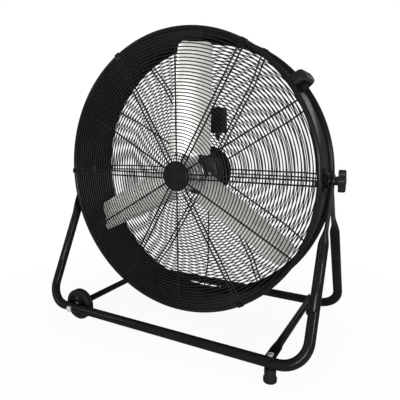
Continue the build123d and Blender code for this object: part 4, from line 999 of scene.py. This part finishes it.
spiderParts = [turnedShape(spiderPlate, impellerSpot)] + [
    sheetSolid(armGrid(math.radians(degrees)), armSize["sheet"]) for degrees in bladeAngles
]
makePiece("blade_spider", spiderParts, "impeller", zincPlate)

hubShape = {
    "profile": [(7.2, 10.0), (7.2, -16.0), (18.6, -16.0), (19.9, -14.6), (19.9, -3.2),
                (33.9, -2.9), (33.9, 0.9), (19.9, 0.9), (19.9, 9.0), (18.8, 10.0)],
    "rounding": [0.5, 0.8, 1.0, 1.0, 2.5, 1.0, 0.6, 0.3, 0.8, 0.6], "steps": 4, "sides": 80,
}
shaftShape = {
    "profile": [(0.6, -25.9), (6.0, -25.9), (6.95, -25.0), (6.95, 106.5), (0.6, 106.5)],
    "rounding": [0, 0.4, 0.4, 0.2, 0], "steps": 3, "sides": 36, "ring": False,
}
makePiece("fan_hub", [turnedShape(hubShape, impellerSpot)], "impeller", castAluminium)
makePiece("motor_shaft", [turnedShape(shaftShape, drumCentre)], "impeller", plainSteel)
print("impeller")

boxSize = {
    "x": 22.0, "z": 601.0, "width": 39.8, "height": 77.8, "corner": 4.5, "cornerSteps": 6,
    "front": 117.5, "frontEdge": 2.0, "back": 147.4, "backEdge": 0.4, "backChamfer": 0.3,
    "joint": 0.15, "jointChamfer": 0.6, "cover": 157.5, "coverEdge": 2.6, "edgeSteps": 5,
}
dialSkirt = {
    "profile": [(0.6, 157.9), (16.4, 157.9), (16.9, 158.6), (15.8, 161.9), (0.6, 162.2)],
    "rounding": [0, 0.4, 0.5, 0.8, 0], "steps": 4, "sides": 64, "ring": False,
}
gripSize = {
    "long": 14.8, "wide": 4.8, "corner": 4.4, "cornerSteps": 6, "foot": [(0, 161.0), (0.2, 167.0)],
    "inset": 0.2, "edge": 2.4, "edgeFrom": 168.2, "edgeRise": 2.5,
}
# Control box, its cover and the dial: outlines in layers, whose edges turn in as quarter rounds.
boxSpot = boxSize["x"] * alongX + boxSize["z"] * alongZ
outline = square * (boxSize["width"] / 2, boxSize["height"] / 2)
outline = rounded(outline, boxSize["corner"], boxSize["cornerSteps"])
quarter = [(1 - math.cos(turn), 1 - math.sin(turn))
           for turn in np.linspace(0, quarterTurn, boxSize["edgeSteps"])]
frontEdge, coverEdge, back = boxSize["frontEdge"], boxSize["coverEdge"], boxSize["back"]
boxLevels = [(frontEdge * fall, boxSize["front"] + frontEdge * rise) for rise, fall in quarter]
boxLevels += [(0, back - boxSize["backChamfer"]), (boxSize["backEdge"], back)]
coverLevels = [(boxSize["backEdge"], back + boxSize["joint"]), (0, back + boxSize["jointChamfer"])]
coverLevels += [(coverEdge * rise, boxSize["cover"] - coverEdge * fall) for rise, fall in quarter]
gripOutline = square * (gripSize["long"], gripSize["wide"])
gripOutline = rounded(gripOutline, gripSize["corner"], gripSize["cornerSteps"])
gripLevels = gripSize["foot"] + [
    (gripSize["inset"] + gripSize["edge"] * rise,
     gripSize["edgeFrom"] + gripSize["edgeRise"] * (1 - fall))
    for rise, fall in quarter
]
boxBody = layered(outline, boxLevels, boxSpot, -alongX, alongZ)
boxCover = layered(outline, coverLevels, boxSpot, -alongX, alongZ)
dialGrip = layered(gripOutline, gripLevels, boxSpot, -alongX, alongZ)
makePiece("control_box", [boxBody], "drum", mouldedBlack)
makePiece("control_box_cover", [boxCover], "drum", mouldedBlack)
makePiece("speed_dial", [turnedShape(dialSkirt, boxSpot), dialGrip], "dial", mouldedBlack)

# Gland under the box: a hexagon nut and a tapered sleeve with rings.
glandSize = {
    "y": 132.45, "z": 561.9, "flats": 15.8, "nut": 7.8, "bore": 3.6, "end": 21.9, "tip": 22.0,
    "neck": 5.0, "neckGrows": 0.18, "ring": 5.7, "ringGrows": 0.05, "foot": 5.9,
    "rings": 5, "first": 20.8, "apart": 2.6, "ringFrom": 0.4, "ringTo": 1.5, "neckTo": 1.9,
    "sides": 40,
}
glandSpot = boxSize["x"] * alongX + glandSize["y"] * alongY + glandSize["z"] * alongZ
sleeve = [(glandSize["bore"], 0.0), (glandSize["bore"], glandSize["end"]),
          (glandSize["neck"], glandSize["tip"])]
for step in range(glandSize["rings"]):
    top = glandSize["first"] - glandSize["apart"] * step
    neck = glandSize["neck"] + glandSize["neckGrows"] * step
    ringRadius = glandSize["ring"] + glandSize["ringGrows"] * step
    sleeve += [(neck, top), (ringRadius, top - glandSize["ringFrom"]),
               (ringRadius, top - glandSize["ringTo"]), (neck, top - glandSize["neckTo"])]
sleeve += [(glandSize["foot"], 0.0)]
glandNut = hexHead(glandSpot, -alongZ, alongX, glandSize["flats"], glandSize["nut"])
glandSleeve = turned(sleeve, glandSpot, -alongZ, alongX, glandSize["sides"], True)
makePiece("cable_gland", [glandNut, glandSleeve], "drum", mouldedBlack)
print("control box")

# Inner pieces keep their CAD shape and get a finish of their own.
innerFinishes = {"motor_rotor": coreSheets, "motor_stator": coreSheets,
                 "motor_bearings": plainSteel, "rotary_switch": switchPlastic}
for node, finish in innerFinishes.items():
    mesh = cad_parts[node].data
    mesh.materials.clear()
    mesh.materials.append(finish[0])
print("inner pieces")


# 1 for rays from the camera, in reflections and through glass, and 0 for the rest.
def seenByEye(tree):
    lightPath = tree.nodes.new("ShaderNodeLightPath")
    seen = lightPath.outputs["Is Camera Ray"]
    for ray in ("Is Glossy Ray", "Is Transmission Ray"):
        larger = tree.nodes.new("ShaderNodeMath")
        larger.operation = "MAXIMUM"
        tree.links.new(seen, larger.inputs[0])
        tree.links.new(lightPath.outputs[ray], larger.inputs[1])
        seen = larger.outputs["Value"]
    return seen


# Studio floor and sky, with the floor's size and the fade's distances in metres.
studioLook = {
    "floorHalf": 12, "dark": (0.86, 0.86, 0.86), "light": (0.89, 0.89, 0.89), "mottle": 3,
    "mottleDetail": 3.0, "mottleRange": (0.3, 0.7), "roughness": 0.9, "specular": 0.1,
    "white": (1, 1, 1, 1), "fadeFrom": 0.3, "fadeTo": 0.95, "nearWhite": 0.93,
    "skyLight": 0.25, "skySeen": 1.0,
}
floorMesh = bpy.data.meshes.new("studioFloor")
floorCorners = [(*corner, 0) for corner in square * studioLook["floorHalf"]]
floorMesh.from_pydata(floorCorners, [], [(0, 1, 2, 3)])
floor = bpy.data.objects.new("studioFloor", floorMesh)
bpy.context.scene.collection.objects.link(floor)
floorFinish, tree, shader, place = newMaterial("studioFloorPaint")
mottle = noiseFrom(tree, place, studioLook["mottle"], studioLook["mottleDetail"])
share = rangeFrom(tree, mottle, studioLook["mottleRange"], (0.0, 1.0))
colour = colourFrom(tree, share, studioLook["dark"], studioLook["light"])
tree.links.new(colour, shader.inputs["Base Color"])
shader.inputs["Roughness"].default_value = studioLook["roughness"]
shader.inputs["Specular IOR Level"].default_value = studioLook["specular"]
# The floor is white to the camera and in reflections, and keeps a share of its own shading,
# which fades with the distance from the object until the floor runs into the white backdrop.
glow = tree.nodes.new("ShaderNodeEmission")
glow.inputs["Color"].default_value = studioLook["white"]
away = tree.nodes.new("ShaderNodeVectorMath")
away.operation = "LENGTH"
tree.links.new(place, away.inputs[0])
fadeRange = (studioLook["fadeFrom"], studioLook["fadeTo"])
whiteRange = (studioLook["nearWhite"], 1.0)
fade = rangeFrom(tree, away.outputs["Value"], fadeRange, whiteRange, "SMOOTHSTEP")
glowShare = tree.nodes.new("ShaderNodeMath")
glowShare.operation = "MULTIPLY"
tree.links.new(fade, glowShare.inputs[0])
tree.links.new(seenByEye(tree), glowShare.inputs[1])
mixShader = tree.nodes.new("ShaderNodeMixShader")
tree.links.new(glowShare.outputs["Value"], mixShader.inputs["Fac"])
tree.links.new(shader.outputs["BSDF"], mixShader.inputs[1])
tree.links.new(glow.outputs["Emission"], mixShader.inputs[2])
tree.links.new(mixShader.outputs["Shader"], tree.nodes["Material Output"].inputs["Surface"])
floorMesh.materials.append(floorFinish)

world = bpy.data.worlds.new("studioWorld")
bpy.context.scene.world = world
world.use_nodes = True
tree = world.node_tree
background = tree.nodes["Background"]
background.inputs["Color"].default_value = studioLook["white"]
skyRange = (studioLook["skyLight"], studioLook["skySeen"])
strength = rangeFrom(tree, seenByEye(tree), (0.0, 1.0), skyRange)
tree.links.new(strength, background.inputs["Strength"])
print("floor and backdrop")

# Lamps: where each stands, what it looks at, its width and height in metres, and its watts.
lamps = {
    "frontLamp": ((0.75, -2.4, 0.42), (0, 0, 0.5), (1.2, 0.35), 72),
    "keyLamp": ((2.2, -1.5, 0.8), (0, 0, 0.5), (0.4, 0.4), 36),
    "leftLamp": ((-1.9, -1.9, 1.3), (0, 0, 0.4), (0.15, 1.2), 14),
    "topLamp": ((0.2, 0.2, 2.8), (0, 0, 0.4), (0.7, 0.7), 14),
    "backLamp": ((0.5, 2.3, 1.0), (0, 0, 0.5), (0.25, 0.7), 5),
}
for name, (spot, target, size, power) in lamps.items():
    lamp = bpy.data.lights.new(name, "AREA")
    lamp.shape = "RECTANGLE"
    lamp.size, lamp.size_y = size
    lamp.energy = power
    holder = bpy.data.objects.new(name, lamp)
    bpy.context.scene.collection.objects.link(holder)
    holder.location = spot
    holder.rotation_mode = "QUATERNION"
    aim = Vector(target) - Vector(spot)
    holder.rotation_quaternion = aim.to_track_quat("-Z", "Y")
print("lamps")

# The lens, place and turn follow the photograph: yaw, pitch and roll in degrees.
cameraPlan = {"lens": 35.8, "sensor": 36.0, "spot": (0.5827, -0.9984, 0.561),
              "turns": (-28.98, -9.48, -0.31)}
cameraData = bpy.data.cameras.new("photoCamera")
cameraData.lens = cameraPlan["lens"]
cameraData.sensor_width = cameraPlan["sensor"]
photoCamera = bpy.data.objects.new("photoCamera", cameraData)
bpy.context.scene.collection.objects.link(photoCamera)
yaw, pitch, roll = (math.radians(degrees) for degrees in cameraPlan["turns"])
ahead = Vector((math.sin(yaw) * math.cos(pitch), math.cos(yaw) * math.cos(pitch), math.sin(pitch)))
level = Vector((math.cos(yaw), -math.sin(yaw), 0))
upright = level.cross(ahead)
right = level * math.cos(roll) + upright * math.sin(roll)
upwards = upright * math.cos(roll) - level * math.sin(roll)
turnMatrix = Matrix((right, upwards, -ahead)).transposed().to_4x4()
photoCamera.matrix_world = Matrix.Translation(cameraPlan["spot"]) @ turnMatrix
bpy.context.scene.camera = photoCamera
bpy.context.scene.view_settings.view_transform = "Standard"

print("scene ready")
